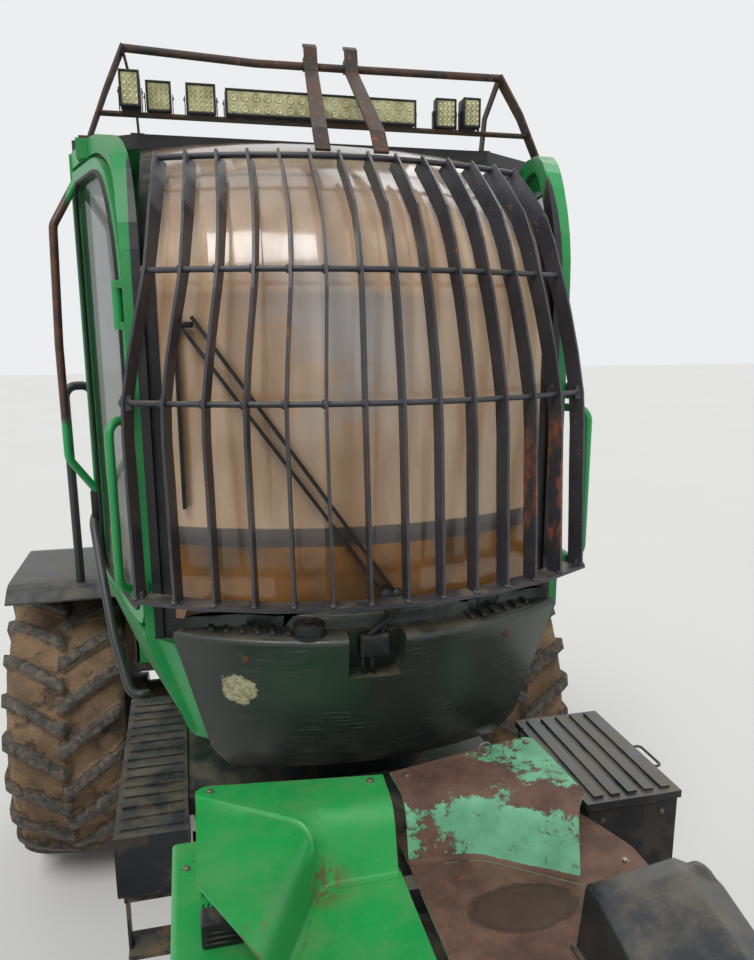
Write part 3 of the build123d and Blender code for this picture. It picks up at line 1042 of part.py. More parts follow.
def cylinder(base, eye, barrel_r, rod_r, barrel_len, rod_len, shortest, eye_r, rod_eye_half):
    """Barrel on its base pin and rod with its eye, in the crane's middle plane."""
    b, e = Vector(0, *base), Vector(0, *eye)
    d = (e - b).normalized()
    length = (e - b).length

    def at(s):
        p = b + d * s
        return (p.X, p.Y, p.Z)
    w = CYL_EYE_W / 2
    barrel = join(bar(at(eye_r + 20), at(barrel_len), barrel_r), bar(at(10), at(eye_r + 30), w - 2),
                  bar((-w, base[0], base[1]), (w, base[0], base[1]), eye_r))
    barrel = barrel - bar(at(shortest - rod_len - 8), at(barrel_len + 5), rod_r + RUN_GAP)
    rod = join(bar(at(length - rod_len), at(length - 10), rod_r),
               cross_pin(eye, -rod_eye_half, rod_eye_half, eye_r - 4))
    return barrel, rod


LIFT_EYE = polar(BOOM_A, BOOM_REST_DEG, LIFT_EYE_S, -LIFT_EYE_DROP)
lift_barrel, lift_rod = cylinder(
    LIFT_BASE, LIFT_EYE, LIFT_BARREL_R, LIFT_ROD_R, 790, 780, 886, 56, LIFT_BARREL_R)
save("lift_barrel", lift_barrel - cross_pin(LIFT_BASE, -100, 100, PIN_R - 5 + RUN_GAP))
save("lift_rod", lift_rod)
jib_barrel, jib_rod = cylinder(
    JIB_BASE, HORN, JIB_BARREL_R, JIB_ROD_R, 1330, 1250, 1470, 50, CYL_EYE_W / 2)
save("jib_barrel", jib_barrel - cross_pin(JIB_BASE, -100, 100, PIN_R - 7 + RUN_GAP))
save("jib_rod", jib_rod)

# Steering cylinders


def steering_cylinder(side):
    b = Vector(side * STEER_BASE_X, STEER_BASE_Y, STEER_Z)
    e = Vector(side * STEER_EYE_X, STEER_EYE_Y, STEER_Z)
    d = (e - b).normalized()

    def at(s):
        p = b + d * s
        return (p.X, p.Y, p.Z)
    length = (e - b).length
    barrel_len, rod_len, shortest = 800, 820, 960
    barrel = join(bar(at(75), at(barrel_len), STEER_BARREL_R), bar(at(10), at(85), 29),
                  bar((b.X, b.Y, STEER_Z - 30), (b.X, b.Y, STEER_Z + 30), 38))
    barrel = barrel - bar(at(shortest - rod_len - 8), at(barrel_len + 5), STEER_ROD_R + RUN_GAP)
    barrel = barrel - bar((b.X, b.Y, STEER_Z - 80), (b.X, b.Y, STEER_Z + 80), 20 + RUN_GAP)
    rod = join(bar(at(length - rod_len), at(length - 8), STEER_ROD_R),
               bar((e.X, e.Y, STEER_Z - 34), (e.X, e.Y, STEER_Z + 34), 36))
    return barrel, rod


for side, name in ((1, "left"), (-1, "right")):
    barrel, rod = steering_cylinder(side)
    save(f"steer_barrel_{name}", barrel)
    save(f"steer_rod_{name}", rod)

# Felling head on its knuckle link and rotator

TIP_Y, TIP_Z = TIP_C
LINK_PIN_Z = TIP_Z - LINK_LEN
link = join(bar((-40, TIP_Y, TIP_Z), (40, TIP_Y, TIP_Z), 42),
            block(-32, 32, TIP_Y - 30, TIP_Y + 30, LINK_PIN_Z, TIP_Z),
            bar((0, TIP_Y - 40, LINK_PIN_Z), (0, TIP_Y + 40, LINK_PIN_Z), 42))
link = link - cross_pin(TIP_C, -100, 100, 22 + RUN_GAP) - bar((0, TIP_Y - 100, LINK_PIN_Z),
    (0, TIP_Y + 100, LINK_PIN_Z), 22 + RUN_GAP)
save("knuckle_link", link)

ROT_TOP_Z = LINK_PIN_Z - 60
ROTATOR_R = 108
housing = join(block(-55, 55, TIP_Y - 70, TIP_Y - 46, ROT_TOP_Z - 20, LINK_PIN_Z + 34),
               block(-55, 55, TIP_Y + 46, TIP_Y + 70, ROT_TOP_Z - 20, LINK_PIN_Z + 34),
               bar((0, TIP_Y - 78, LINK_PIN_Z), (0, TIP_Y + 78, LINK_PIN_Z), 22),
               bar((0, TIP_Y, ROT_TOP_Z), (0, TIP_Y, ROT_TOP_Z - ROTATOR_H / 2), ROTATOR_R))
save("rotator_housing", housing)

YOKE_Z = ROT_TOP_Z - ROTATOR_H / 2 - SEAT_GAP
HEAD_Z = TIP_Z - HEAD_DROP
TILT_Z = HEAD_Z + HEAD_BEAM_H + TILT_RISE
YOKE_Y = 165
YOKE_T = 25
TILT_PIN_R = 30
yoke_cheek = [(60 * cos(radians(a)), TILT_Z + 60 * sin(radians(a))) for a in range(180, 361, 30)]
yoke_cheek = yoke_cheek + [(90, YOKE_Z - 60), (-90, YOKE_Z - 60)]
yoke = join(bar((0, TIP_Y, YOKE_Z), (0, TIP_Y, YOKE_Z - 60), ROTATOR_R + 6),
            block(-110, 110, TIP_Y - YOKE_Y - YOKE_T, TIP_Y + YOKE_Y + YOKE_T, YOKE_Z - 84, YOKE_Z - 50),
            cross_plate(yoke_cheek, TIP_Y + YOKE_Y, TIP_Y + YOKE_Y + YOKE_T),
            cross_plate(yoke_cheek, TIP_Y - YOKE_Y - YOKE_T, TIP_Y - YOKE_Y),
            bar((0, TIP_Y - YOKE_Y - YOKE_T - 12, TILT_Z), (0, TIP_Y - YOKE_Y + 35, TILT_Z), TILT_PIN_R),
            bar((0, TIP_Y + YOKE_Y - 35, TILT_Z), (0, TIP_Y + YOKE_Y + YOKE_T + 12, TILT_Z), TILT_PIN_R))
save("rotator_yoke", yoke)

HEAD_Y = TIP_Y
HEAD_TOP_Z = HEAD_Z + HEAD_BEAM_H
ARM_PIN_Y = 150
ARM_PIN_Z = HEAD_Z - 50
ARM_PIN_R = 24
PLATES = (-HEAD_HALF, -210, 190, HEAD_HALF - 24)
BEAM_STEP = 36
hanger = [(-92, HEAD_TOP_Z - 10), (170, HEAD_TOP_Z - 10), (60, TILT_Z + 20), (30, TILT_Z + 55),
          (-30, TILT_Z + 55), (-60, TILT_Z + 20)]
end_plate = [(-185, ARM_PIN_Z - 55), (185, ARM_PIN_Z - 55), (185, HEAD_Z + 30), (140, HEAD_Z + 60),
             (-140, HEAD_Z + 60), (-185, HEAD_Z + 30)]
beam_side = [(-HEAD_HALF, HEAD_Z), (HEAD_HALF, HEAD_Z), (HEAD_HALF, HEAD_TOP_Z), (-130, HEAD_TOP_Z),
             (-190, HEAD_TOP_Z - BEAM_STEP), (-HEAD_HALF, HEAD_TOP_Z - BEAM_STEP)]
saw_box = [(HEAD_HALF - 10, HEAD_Z - 10), (HEAD_HALF + 190, HEAD_Z - 10), (HEAD_HALF + 190, HEAD_Z + 40),
           (HEAD_HALF + 150, HEAD_Z + 75), (HEAD_HALF - 10, HEAD_Z + 75)]
head = join(cross_plate(beam_side, HEAD_Y - 120, HEAD_Y + 120),
            block(-120, 170, HEAD_Y - YOKE_Y + MOVE_GAP, HEAD_Y + YOKE_Y - MOVE_GAP, HEAD_Z + 2,
                  HEAD_TOP_Z - 8),
            cross_plate(hanger, HEAD_Y + YOKE_Y - MOVE_GAP - 26, HEAD_Y + YOKE_Y - MOVE_GAP),
            cross_plate(hanger, HEAD_Y - YOKE_Y + MOVE_GAP, HEAD_Y - YOKE_Y + MOVE_GAP + 26),
            cross_plate(saw_box, HEAD_Y - 190, HEAD_Y + 190),
            *[side_plate([(HEAD_Y + y, z) for y, z in end_plate], x, x + 24) for x in PLATES],
            *[bar((-HEAD_HALF - 10, HEAD_Y + s * ARM_PIN_Y, ARM_PIN_Z),
                  (HEAD_HALF + 10, HEAD_Y + s * ARM_PIN_Y, ARM_PIN_Z),
                  ARM_PIN_R) for s in (-1, 1)])
head = head - bar((0, HEAD_Y - 300, TILT_Z), (0, HEAD_Y + 300, TILT_Z), TILT_PIN_R + RUN_GAP)
save("head_body", head)


def arm_plate(side, outline, x0, x1):
    """Plate of an arm; its outline is measured outwards and up from the arm's pin."""
    return side_plate([(HEAD_Y + side * (ARM_PIN_Y + y), ARM_PIN_Z + z) for y, z in outline], x0, x1)


CLAW = [(0, 34), (70, 0), (95, -130), (60, -300), (-20, -440), (-60, -470), (20, -300), (45, -140),
        (10, -40), (-36, -10)]
SPINE = [(62, -30), (88, -28), (98, -200), (66, -200)]
WEB = [(-24, 30), (24, 34), (88, -28), (66, -120), (24, -34)]
HUBS = ((-HEAD_HALF + 24 + MOVE_GAP, -210 - MOVE_GAP), (-186 + MOVE_GAP, 190 - MOVE_GAP),
        (214 + MOVE_GAP, HEAD_HALF - 24 - MOVE_GAP))
WEBS = (-250, -150, 120, 240)
ROLLER_HALF, ROLLER_R, ROLLER_RIB, ROLLER_RIBS = 165, 94, 16, 12
for side, name, claws in ((1, "rear", (-524, 494)), (-1, "front", (-560, 530))):
    y = HEAD_Y + side * ARM_PIN_Y
    hubs = [bar((x0, y, ARM_PIN_Z), (x1, y, ARM_PIN_Z), 40) for x0, x1 in HUBS]
    spine = arm_plate(side, SPINE, -566, 566)
    webs = [arm_plate(side, WEB, x, x + 26) for x in WEBS]
    knives = [arm_plate(side, CLAW, x, x + 30) for x in claws]
    roller_y, roller_z = HEAD_Y + side * (ARM_PIN_Y + 90), ARM_PIN_Z - 220
    roller = bar((-ROLLER_HALF, roller_y, roller_z), (ROLLER_HALF, roller_y, roller_z), ROLLER_R)
    rib = block(-ROLLER_HALF + 12, ROLLER_HALF - 12, -7, 7, ROLLER_R - 4, ROLLER_R + ROLLER_RIB)
    ribs = [Pos(0, roller_y, roller_z) * Rot(360 / ROLLER_RIBS * i, 0, 0) * rib for i in range(ROLLER_RIBS)]
    arm = join(*hubs, spine, *webs, *knives, roller, *ribs)
    arm = arm - bar((-700, y, ARM_PIN_Z), (700, y, ARM_PIN_Z), ARM_PIN_R + RUN_GAP)
    save(f"head_arm_{name}", arm)
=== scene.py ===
import json
from math import cos, pi, radians, sin

import bpy
import numpy as np
from mathutils import Matrix, Vector


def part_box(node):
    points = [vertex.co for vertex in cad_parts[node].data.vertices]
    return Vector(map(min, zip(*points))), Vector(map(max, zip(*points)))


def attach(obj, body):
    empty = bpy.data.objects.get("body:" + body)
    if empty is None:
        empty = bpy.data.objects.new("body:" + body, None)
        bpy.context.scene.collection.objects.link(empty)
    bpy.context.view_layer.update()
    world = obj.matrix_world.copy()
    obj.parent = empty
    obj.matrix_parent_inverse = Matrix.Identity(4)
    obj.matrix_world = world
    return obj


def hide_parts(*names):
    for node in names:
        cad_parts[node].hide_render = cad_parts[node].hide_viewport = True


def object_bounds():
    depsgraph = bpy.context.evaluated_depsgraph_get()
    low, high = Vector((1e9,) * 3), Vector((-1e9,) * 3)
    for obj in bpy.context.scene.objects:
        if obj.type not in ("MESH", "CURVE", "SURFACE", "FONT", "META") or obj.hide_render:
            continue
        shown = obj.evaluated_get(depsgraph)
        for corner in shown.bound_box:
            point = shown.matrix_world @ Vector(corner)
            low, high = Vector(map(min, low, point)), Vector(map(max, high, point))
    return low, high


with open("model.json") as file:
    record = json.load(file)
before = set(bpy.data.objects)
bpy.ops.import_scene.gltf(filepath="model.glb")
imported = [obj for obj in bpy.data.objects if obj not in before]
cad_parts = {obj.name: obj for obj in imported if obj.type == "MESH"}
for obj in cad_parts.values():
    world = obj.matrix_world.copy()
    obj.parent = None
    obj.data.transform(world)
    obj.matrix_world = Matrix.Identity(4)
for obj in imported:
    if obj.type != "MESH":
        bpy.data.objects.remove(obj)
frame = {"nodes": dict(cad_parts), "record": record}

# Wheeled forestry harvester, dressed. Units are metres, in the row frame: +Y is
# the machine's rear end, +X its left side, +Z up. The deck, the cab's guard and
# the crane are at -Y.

CAD_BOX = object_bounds()
SHIFT_Y = 0.119          # the row frame's y less the machine's own y
PLAIN = {}               # no settings, or no inputs


def hue(red, green, blue):
    """Colour for a socket from its screen values, 0 to 255."""
    share = np.array([red, green, blue]) / 255
    linear = np.where(share <= 0.04045, share / 12.92, ((share + 0.055) / 1.055) ** 2.4)
    return (*[float(v) for v in linear], 1.0)


# Camera: the photograph's place and lens, solved from the cab's edges

CAMERA_AT = (-0.572, -1.726, 3.052)
YAW, PITCH, ROLL = radians(13.579), radians(12.121), radians(-0.231)
FOCAL_PIXELS, LONG_SIDE, SHIFT_PIXELS = 791.6, 960, 20
SENSOR_MM = 36

forward = np.array([sin(YAW) * cos(PITCH), cos(YAW) * cos(PITCH), -sin(PITCH)])
level_right = np.array([cos(YAW), -sin(YAW), 0.0])
level_up = np.cross(level_right, forward)
right = cos(ROLL) * level_right + sin(ROLL) * level_up
up = -sin(ROLL) * level_right + cos(ROLL) * level_up
camera_data = bpy.data.cameras.new("photo_camera")
camera_data.sensor_width = SENSOR_MM
camera_data.lens = SENSOR_MM * FOCAL_PIXELS / LONG_SIDE
camera_data.shift_y = SHIFT_PIXELS / LONG_SIDE
camera_data.clip_start = 0.05
camera = bpy.data.objects.new("photo_camera", camera_data)
bpy.context.collection.objects.link(camera)
camera.matrix_world = Matrix([*zip(right, up, -forward, CAMERA_AT), (0, 0, 0, 1)])
bpy.context.scene.camera = camera
bpy.context.scene.view_settings.view_transform = "Standard"


# Finishes

class Reading:
    """A value read off the surface. Python's operators add the Math nodes."""

    def __init__(self, finish, socket):
        self.finish = finish
        self.socket = socket

    def math(self, operation, first, second):
        """One Math node on two values or readings."""
        return self.finish.node("ShaderNodeMath", {"operation": operation}, {0: first, 1: second})

    def __add__(self, other):
        return self.math("ADD", self, other)

    def __sub__(self, other):
        return self.math("SUBTRACT", self, other)

    def __rsub__(self, other):
        return self.math("SUBTRACT", other, self)

    def __mul__(self, other):
        return self.math("MULTIPLY", self, other)

    __radd__ = __add__
    __rmul__ = __mul__

    def rise(self, low, high):
        """0 below low and 1 above high, smooth between; falls where low is the larger."""
        span = {1: low, 2: high, 3: 0.0, 4: 1.0} if low <= high else {1: high, 2: low, 3: 1.0, 4: 0.0}
        return self.finish.node("ShaderNodeMapRange", {"interpolation_type": "SMOOTHSTEP"},
                                {0: self, **span})

    def band(self, middle, half, soft):
        """1 within half of the middle, 0 past half and soft."""
        away = self.math("ABSOLUTE", self - middle, None)
        return away.rise(half + soft, half)


class Nodes:
    """A node tree, and the one method that adds nodes to it."""

    def __init__(self, tree):
        self.tree = tree

    def node(self, kind, settings=PLAIN, inputs=PLAIN, out=0):
        """Adds a node, its settings first, then its sockets' values or links, and reads one output."""
        made = self.tree.nodes.new(kind)
        for setting, value in settings.items():
            setattr(made, setting, value)
        for socket, value in inputs.items():
            if isinstance(value, Reading):
                self.tree.links.new(value.socket, made.inputs[socket])
            elif value is not None:
                made.inputs[socket].default_value = value
        return Reading(self, made.outputs[out])


class Finish(Nodes):
    """One material: its shader, its place on the surface and the patterns read there."""

    SOCKETS = {"colour": "Base Color", "rough": "Roughness", "metal": "Metallic", "alpha": "Alpha",
               "normal": "Normal"}

    def __init__(self, name, specular=0.5, fixed=PLAIN):
        self.material = bpy.data.materials.new(name)
        self.material.use_nodes = True
        super().__init__(self.material.node_tree)
        self.shader = self.tree.nodes["Principled BSDF"]
        for socket, value in {"Specular IOR Level": specular, **fixed}.items():
            self.shader.inputs[socket].default_value = value
        self.place = self.node("ShaderNodeTexCoord", out="Object")

    def stretched(self, scale):
        """The place scaled along each axis, or as it is where no scale is given."""
        if not scale:
            return self.place
        return self.node("ShaderNodeMapping", PLAIN, {"Vector": self.place, "Scale": scale})

    def cloud(self, size, detail=3.0, rough=0.55, stretch=None):
        """Cloudy pattern about that size in metres, 0 to 1 with its middle at 0.5."""
        return self.node("ShaderNodeTexNoise", PLAIN, {
            "Vector": self.stretched(stretch), "Scale": 1 / size, "Detail": detail, "Roughness": rough})

    def cells(self, size):
        """Distance from the nearest of points scattered about that size apart."""
        return self.node("ShaderNodeTexVoronoi", PLAIN, {"Vector": self.place, "Scale": 1 / size})

    def split(self, vector):
        """The vector's x, y and z."""
        return [self.node("ShaderNodeSeparateXYZ", PLAIN, {0: vector}, axis) for axis in range(3)]

    def axes(self):
        """The place's x, y and z."""
        return self.split(self.place)

    def facing(self):
        """The surface normal's x, y and z."""
        return self.split(self.node("ShaderNodeNewGeometry", out="Normal"))

    def edges(self, radius):
        """0 on flats, towards 1 within that radius of a sharp edge."""
        soft = self.node("ShaderNodeBevel", {"samples": 4}, {"Radius": radius})
        plain = self.node("ShaderNodeNewGeometry", out="Normal")
        same = self.node("ShaderNodeVectorMath", {"operation": "DOT_PRODUCT"}, {0: soft, 1: plain},
                         "Value")
        return same.rise(0.995, 0.86)

    def distance(self, point, stretch=None):
        """Distance of the place, stretched where a stretch is given, from the point."""
        ends = {0: self.stretched(stretch), 1: point}
        return self.node("ShaderNodeVectorMath", {"operation": "DISTANCE"}, ends, "Value")

    def near(self, point, radius, soft):
        """1 within radius of the point, 0 past radius and soft."""
        return self.distance(point).rise(radius + soft, radius)

    def mix(self, share, first, second):
        """Colour that goes from first to second as share goes from 0 to 1."""
        return self.node("ShaderNodeMix", {"data_type": "RGBA"}, {0: share, 6: first, 7: second}, 2)

    def relief(self, value, depth):
        """Normal of the surface raised by the value times the depth in metres."""
        return self.node("ShaderNodeBump", PLAIN, {"Height": value, "Distance": depth})

    def give(self, **sockets):
        """Links readings to the shader: colour, roughness, metallic, alpha or normal."""
        for short, value in sockets.items():
            self.tree.links.new(value.socket, self.shader.inputs[self.SOCKETS[short]])
        return self.material


RUST = hue(118, 78, 56)
DARK_RUST = hue(74, 50, 40)
ROAD_DUST = hue(148, 138, 112)
DRY_MUD = hue(152, 122, 84)


def painted(name, light, deep, wear=0.35, dust=0.5, gloss=0.34, extra=None):
    """Sprayed paint: two tones, dust on what faces up, chips at the edges, fine scratches.

    Extra, where given, takes the finish and the colour and returns the colour with its own marks.
    """
    finish = Finish(name)
    tone = finish.cloud(0.7, 4.0)
    colour = finish.mix(tone.rise(0.35, 0.7), light, deep)
    scuffs = finish.cloud(0.012, 2.0, 0.6, (1.0, 7.0, 1.6)).rise(0.66, 0.74)
    scuffs = scuffs * finish.cloud(0.22).rise(0.42, 0.62)
    colour = finish.mix(scuffs * 0.45, colour, hue(196, 206, 186))
    top = finish.facing()[2].rise(0.2, 0.9)
    powder = (top * 0.8 + 0.2) * finish.cloud(0.16, 5.0, 0.65).rise(0.38, 0.72) * dust
    colour = finish.mix(powder, colour, ROAD_DUST)
    specks = finish.cloud(0.018, 3.0, 0.7).rise(0.66, 0.72) * finish.cloud(0.3).rise(0.45, 0.6)
    colour = finish.mix(specks * 0.7, colour, DARK_RUST)
    chips = finish.edges(0.006) * finish.cloud(0.05, 4.0, 0.7).rise(0.5 - 0.12 * wear, 0.62) * wear * 2
    colour = finish.mix(chips, colour, RUST)
    if extra:
        colour = extra(finish, colour)
    rough = powder * 0.5 + chips * 0.4 + finish.cloud(0.09) * 0.16 + (gloss - 0.06)
    grain = finish.cloud(0.006, 2.0) * 0.25 - chips * 1.0 + powder * 0.4
    return finish.give(colour=colour, rough=rough, normal=finish.relief(grain, 0.0008))


def sealed_edges(finish, colour):
    """Black sealing strip along the pillars' inner edges, beside the windscreen."""
    x, y = finish.axes()[:2]
    wide = finish.node("ShaderNodeMath", {"operation": "ABSOLUTE"}, {0: x})
    strip = wide.band(0.690, 0.017, 0.002) * y.rise(1.02, 0.98)
    return finish.mix(strip, colour, hue(38, 38, 41))


def rusted_rail(finish, colour):
    """The door's long rail, bare and rusty brown over its upper two thirds."""
    x, z = finish.axes()[::2]
    bare = x.rise(-0.955, -0.97) * (z + finish.cloud(0.05, 5.0) * 0.2).rise(2.78, 2.84)
    brown = finish.mix(finish.cloud(0.05, 6.0, 0.7).rise(0.4, 0.62), hue(96, 62, 46), hue(66, 46, 38))
    return finish.mix(bare, colour, brown)


def scraped_folds(finish, colour):
    """Long scratches and rubbed folds on the green deck cover."""
    lines = finish.cloud(0.02, 2.0, 0.6, (0.6, 9.0, 1.0)).rise(0.66, 0.70)
    lines = lines * finish.cloud(0.3, 3.0).rise(0.46, 0.6)
    colour = finish.mix(lines * 0.55, colour, hue(150, 176, 140))
    ragged = finish.cloud(0.02, 6.0, 0.75)
    fold = finish.near((-0.440, -0.060, 1.66), 0.03, 0.07) * ragged.rise(0.54, 0.6)
    crease = finish.near((-0.268, 0.245, 1.49), 0.03, 0.09) * ragged.rise(0.44, 0.52)
    tip = finish.near((-0.450, -0.100, 1.60), 0.03, 0.10) * finish.edges(0.012) * ragged.rise(0.40, 0.5)
    return finish.mix(fold * 0.8 + crease * 0.8 + tip, colour, RUST)


def dark_front(finish, colour):
    """Roof whose faces turned to the front are painted near black."""
    front = finish.facing()[1].rise(-0.5, -0.8)
    return finish.mix(front, colour, hue(44, 42, 42))


def worn_deck_paint():
    """Mint paint worn through: kept on the front walls, mostly rust on the flats."""
    finish = Finish("faded_mint_worn", 0.35)
    z = finish.axes()[2]
    up_face = finish.facing()[2].rise(0.3, 0.95)
    low = z.rise(1.56, 1.50)
    ragged = finish.cloud(0.19, 8.0, 0.72)
    flakes = finish.cloud(0.035, 6.0, 0.75)
    loss = ragged * 0.62 + flakes * 0.38 + up_face * 0.17 + low * up_face * 0.3
    corner = finish.near((0.60, 0.52, 1.66), 0.10, 0.22) * 0.16
    left_wall = finish.near((0.04, 0.26, 1.53), 0.06, 0.14) * 0.14
    loss = loss - corner + left_wall - (1 - up_face) * 0.05
    bare = loss.rise(0.575, 0.615)
    mint = finish.mix(finish.cloud(0.1, 4.0).rise(0.3, 0.7), hue(122, 192, 150), hue(96, 160, 122))
    rust = finish.mix(finish.cloud(0.13, 6.0, 0.65).rise(0.32, 0.68), hue(116, 88, 74), hue(84, 60, 50))
    rust = finish.mix(finish.cloud(0.02, 3.0).rise(0.6, 0.7) * 0.5, rust, hue(140, 84, 52))
    colour = finish.mix(bare, mint, rust)
    stains = finish.cloud(0.03, 5.0, 0.7).rise(0.60, 0.66) * (1 - bare)
    colour = finish.mix(stains * 0.8, colour, hue(66, 56, 44))
    damp = finish.distance((0.262, 0.055, 1.49), (1.0, 1.75, 1.0)) + finish.cloud(0.06, 4.0) * 0.06
    mark = damp.rise(0.185, 0.168) * low * up_face
    ring = damp.band(0.178, 0.008, 0.012) * low * up_face
    colour = finish.mix(mark * 0.72, colour, hue(62, 46, 34))
    colour = finish.mix(ring * 0.6, colour, hue(50, 38, 30))
    rough = bare * 0.22 + 0.5 - mark * 0.2
    paint_edge = 1 - bare * 0.8 + finish.cloud(0.01, 3.0) * 0.4 * bare
    return finish.give(colour=colour, rough=rough, normal=finish.relief(paint_edge, 0.0012))


def guard_paint():
    """Blue-black paint on the bars, with two bars on the left gone to bare rust."""
    finish = Finish("guard_blue_black")
    x, z = finish.axes()[::2]
    colour = finish.mix(finish.cloud(0.3, 4.0).rise(0.35, 0.65), hue(50, 51, 58), hue(66, 66, 73))
    side_bars = x.rise(0.46, 0.52) * x.rise(0.69, 0.64) * z.rise(2.30, 2.36) * z.rise(2.80, 2.70)
    patchy = side_bars * finish.cloud(0.09, 5.0, 0.65, (1.0, 1.0, 0.45)).rise(0.42, 0.52)
    specks = finish.cloud(0.03, 5.0, 0.7).rise(0.62, 0.68)
    rust = patchy + specks * (1 - patchy) * 0.75
    colour = finish.mix(rust, colour, finish.mix(finish.cloud(0.04).rise(0.4, 0.6), hue(150, 88, 56),
                                                 hue(98, 66, 50)))
    worn = finish.edges(0.004) * finish.cloud(0.07, 4.0).rise(0.45, 0.6)
    colour = finish.mix(worn * 0.6, colour, hue(118, 112, 106))
    dust = finish.facing()[2].rise(0.3, 0.9) * finish.cloud(0.1, 4.0).rise(0.35, 0.7)
    colour = finish.mix(dust * 0.5, colour, ROAD_DUST)
    rough = rust * 0.35 + dust * 0.2 + 0.36
    return finish.give(colour=colour, rough=rough,
                       normal=finish.relief(finish.cloud(0.008, 4.0) * 0.5 - rust, 0.001))


def rack_steel():
    """Rusty brown-black flat steel."""
    finish = Finish("rack_rusty", 0.4)
    share = finish.cloud(0.12, 7.0, 0.7).rise(0.36, 0.62)
    colour = finish.mix(share * 0.75, hue(46, 44, 45), hue(104, 76, 60))
    colour = finish.mix(finish.cloud(0.02, 4.0).rise(0.58, 0.68) * 0.6, colour, hue(150, 96, 64))
    rough = share * 0.3 + 0.5
    return finish.give(colour=colour, rough=rough,
                       normal=finish.relief(finish.cloud(0.01, 5.0, 0.7), 0.0015))


def tank_plastic():
    """Moulded tank: near black with a green cast, long level scratches, a dried patch of mud."""
    finish = Finish("tank_dark")
    z = finish.axes()[2]
    colour = finish.mix(finish.cloud(0.3, 4.0).rise(0.3, 0.7), hue(42, 50, 47), hue(56, 62, 58))
    scratches = finish.cloud(0.05, 3.0, 0.7, (0.3, 0.3, 14.0)).rise(0.60, 0.68)
    scratches = scratches * finish.cloud(0.25).rise(0.4, 0.6)
    colour = finish.mix(scratches * 0.55, colour, hue(120, 124, 116))
    patch = finish.near((-0.455, 0.64, 1.935), 0.01, 0.10) + finish.cloud(0.035, 7.0, 0.72) * 1.7
    mud = patch.rise(1.32, 1.40)
    mud_tone = finish.mix(finish.cloud(0.012, 4.0).rise(0.35, 0.65), hue(196, 188, 156),
                          hue(150, 140, 108))
    colour = finish.mix(mud, colour, mud_tone)
    top = finish.facing()[2].rise(0.3, 0.9) * finish.cloud(0.07, 4.0).rise(0.3, 0.7)
    colour = finish.mix(top * 0.45, colour, hue(122, 112, 90))
    low = z.rise(1.80, 1.60) * finish.cloud(0.1, 5.0).rise(0.4, 0.7)
    colour = finish.mix(low * 0.35, colour, hue(110, 104, 88))
    rough = mud * 0.4 + top * 0.3 + scratches * 0.2 + 0.3
    return finish.give(colour=colour, rough=rough,
                       normal=finish.relief(mud * 2.0 - scratches + finish.cloud(0.01) * 0.3, 0.001))


def black_frame(name="frame_black_dusty", light=hue(52, 54, 58), deep=hue(36, 37, 40), mud=0.5):
    """Black chassis paint with grey sheen, dust above and mud splashed low down."""
    finish = Finish(name)
    z = finish.axes()[2]
    colour = finish.mix(finish.cloud(0.4, 4.0).rise(0.35, 0.65), light, deep)
    top = finish.facing()[2].rise(0.3, 0.9) * finish.cloud(0.13, 5.0, 0.6).rise(0.34, 0.7)
    colour = finish.mix(top * 0.5, colour, hue(132, 124, 106))
    worn = finish.edges(0.006) * finish.cloud(0.06, 4.0).rise(0.45, 0.62)
    colour = finish.mix(worn * 0.65, colour, hue(122, 110, 100))
    splash = finish.cloud(0.12, 7.0, 0.7).rise(0.5, 0.6) * z.rise(1.7, 0.5) * mud
    colour = finish.mix(splash, colour, DRY_MUD)
    rough = top * 0.25 + splash * 0.35 + 0.38
    return finish.give(colour=colour, rough=rough,
                       normal=finish.relief(splash * 2.0 + finish.cloud(0.01) * 0.3 - worn * 0.6, 0.0012))


def tinted_screen():
    """Coated windscreen: copper beige with a painted reflection of the sky in pale grey-blue, an amber
    foot and a dark bar.
    """
    finish = Finish("screen_copper", 0.7, {"Coat Weight": 0.4, "Coat Roughness": 0.05})
    z = finish.axes()[2]
    streaks = finish.cloud(0.16, 4.0, 0.5, (1.0, 1.0, 0.28))
    colour = finish.mix(streaks.rise(0.32, 0.7), hue(222, 192, 160), hue(190, 152, 118))
    # Painted reflection: a pale grey-blue patch of sky painted into the glass's colour.
    sky = finish.near((-0.12, 0.56, 3.02), 0.10, 0.34) * finish.cloud(0.3, 4.0).rise(0.4, 0.56)
    colour = finish.mix(sky * 0.6, colour, hue(186, 194, 204))
    grey_top = z.rise(3.25, 3.6)
    colour = finish.mix(grey_top * 0.6, colour, hue(140, 126, 116))
    amber = z.rise(2.44, 2.38)
    colour = finish.mix(amber, colour, finish.mix(finish.cloud(0.2, 5.0).rise(0.35, 0.65),
                                                  hue(158, 108, 56), hue(110, 78, 46)))
    bar = z.band(2.405, 0.028, 0.006)
    colour = finish.mix(bar * 0.85, colour, hue(52, 56, 62))
    flecks = finish.cloud(0.012, 3.0, 0.7).rise(0.70, 0.74) * finish.cloud(0.4).rise(0.5, 0.6)
    colour = finish.mix(flecks * 0.8, colour, hue(92, 60, 40))
    rough = streaks * 0.12 + 0.12
    alpha = 0.93 - z.rise(3.0, 2.5) * 0.06 + bar * 0.05
    return finish.give(colour=colour, rough=rough, alpha=alpha, normal=finish.relief(streaks, 0.004))


def window_glass():
    """Side glass: thin, green-grey, dusty at its foot."""
    finish = Finish("window_green_grey", 0.8)
    z = finish.axes()[2]
    dust = z.rise(2.6, 2.0) * finish.cloud(0.2, 5.0).rise(0.3, 0.7)
    colour = finish.mix(dust, hue(70, 84, 72), hue(146, 138, 116))
    return finish.give(colour=colour, rough=dust * 0.5 + 0.05, alpha=dust * 0.35 + 0.42)


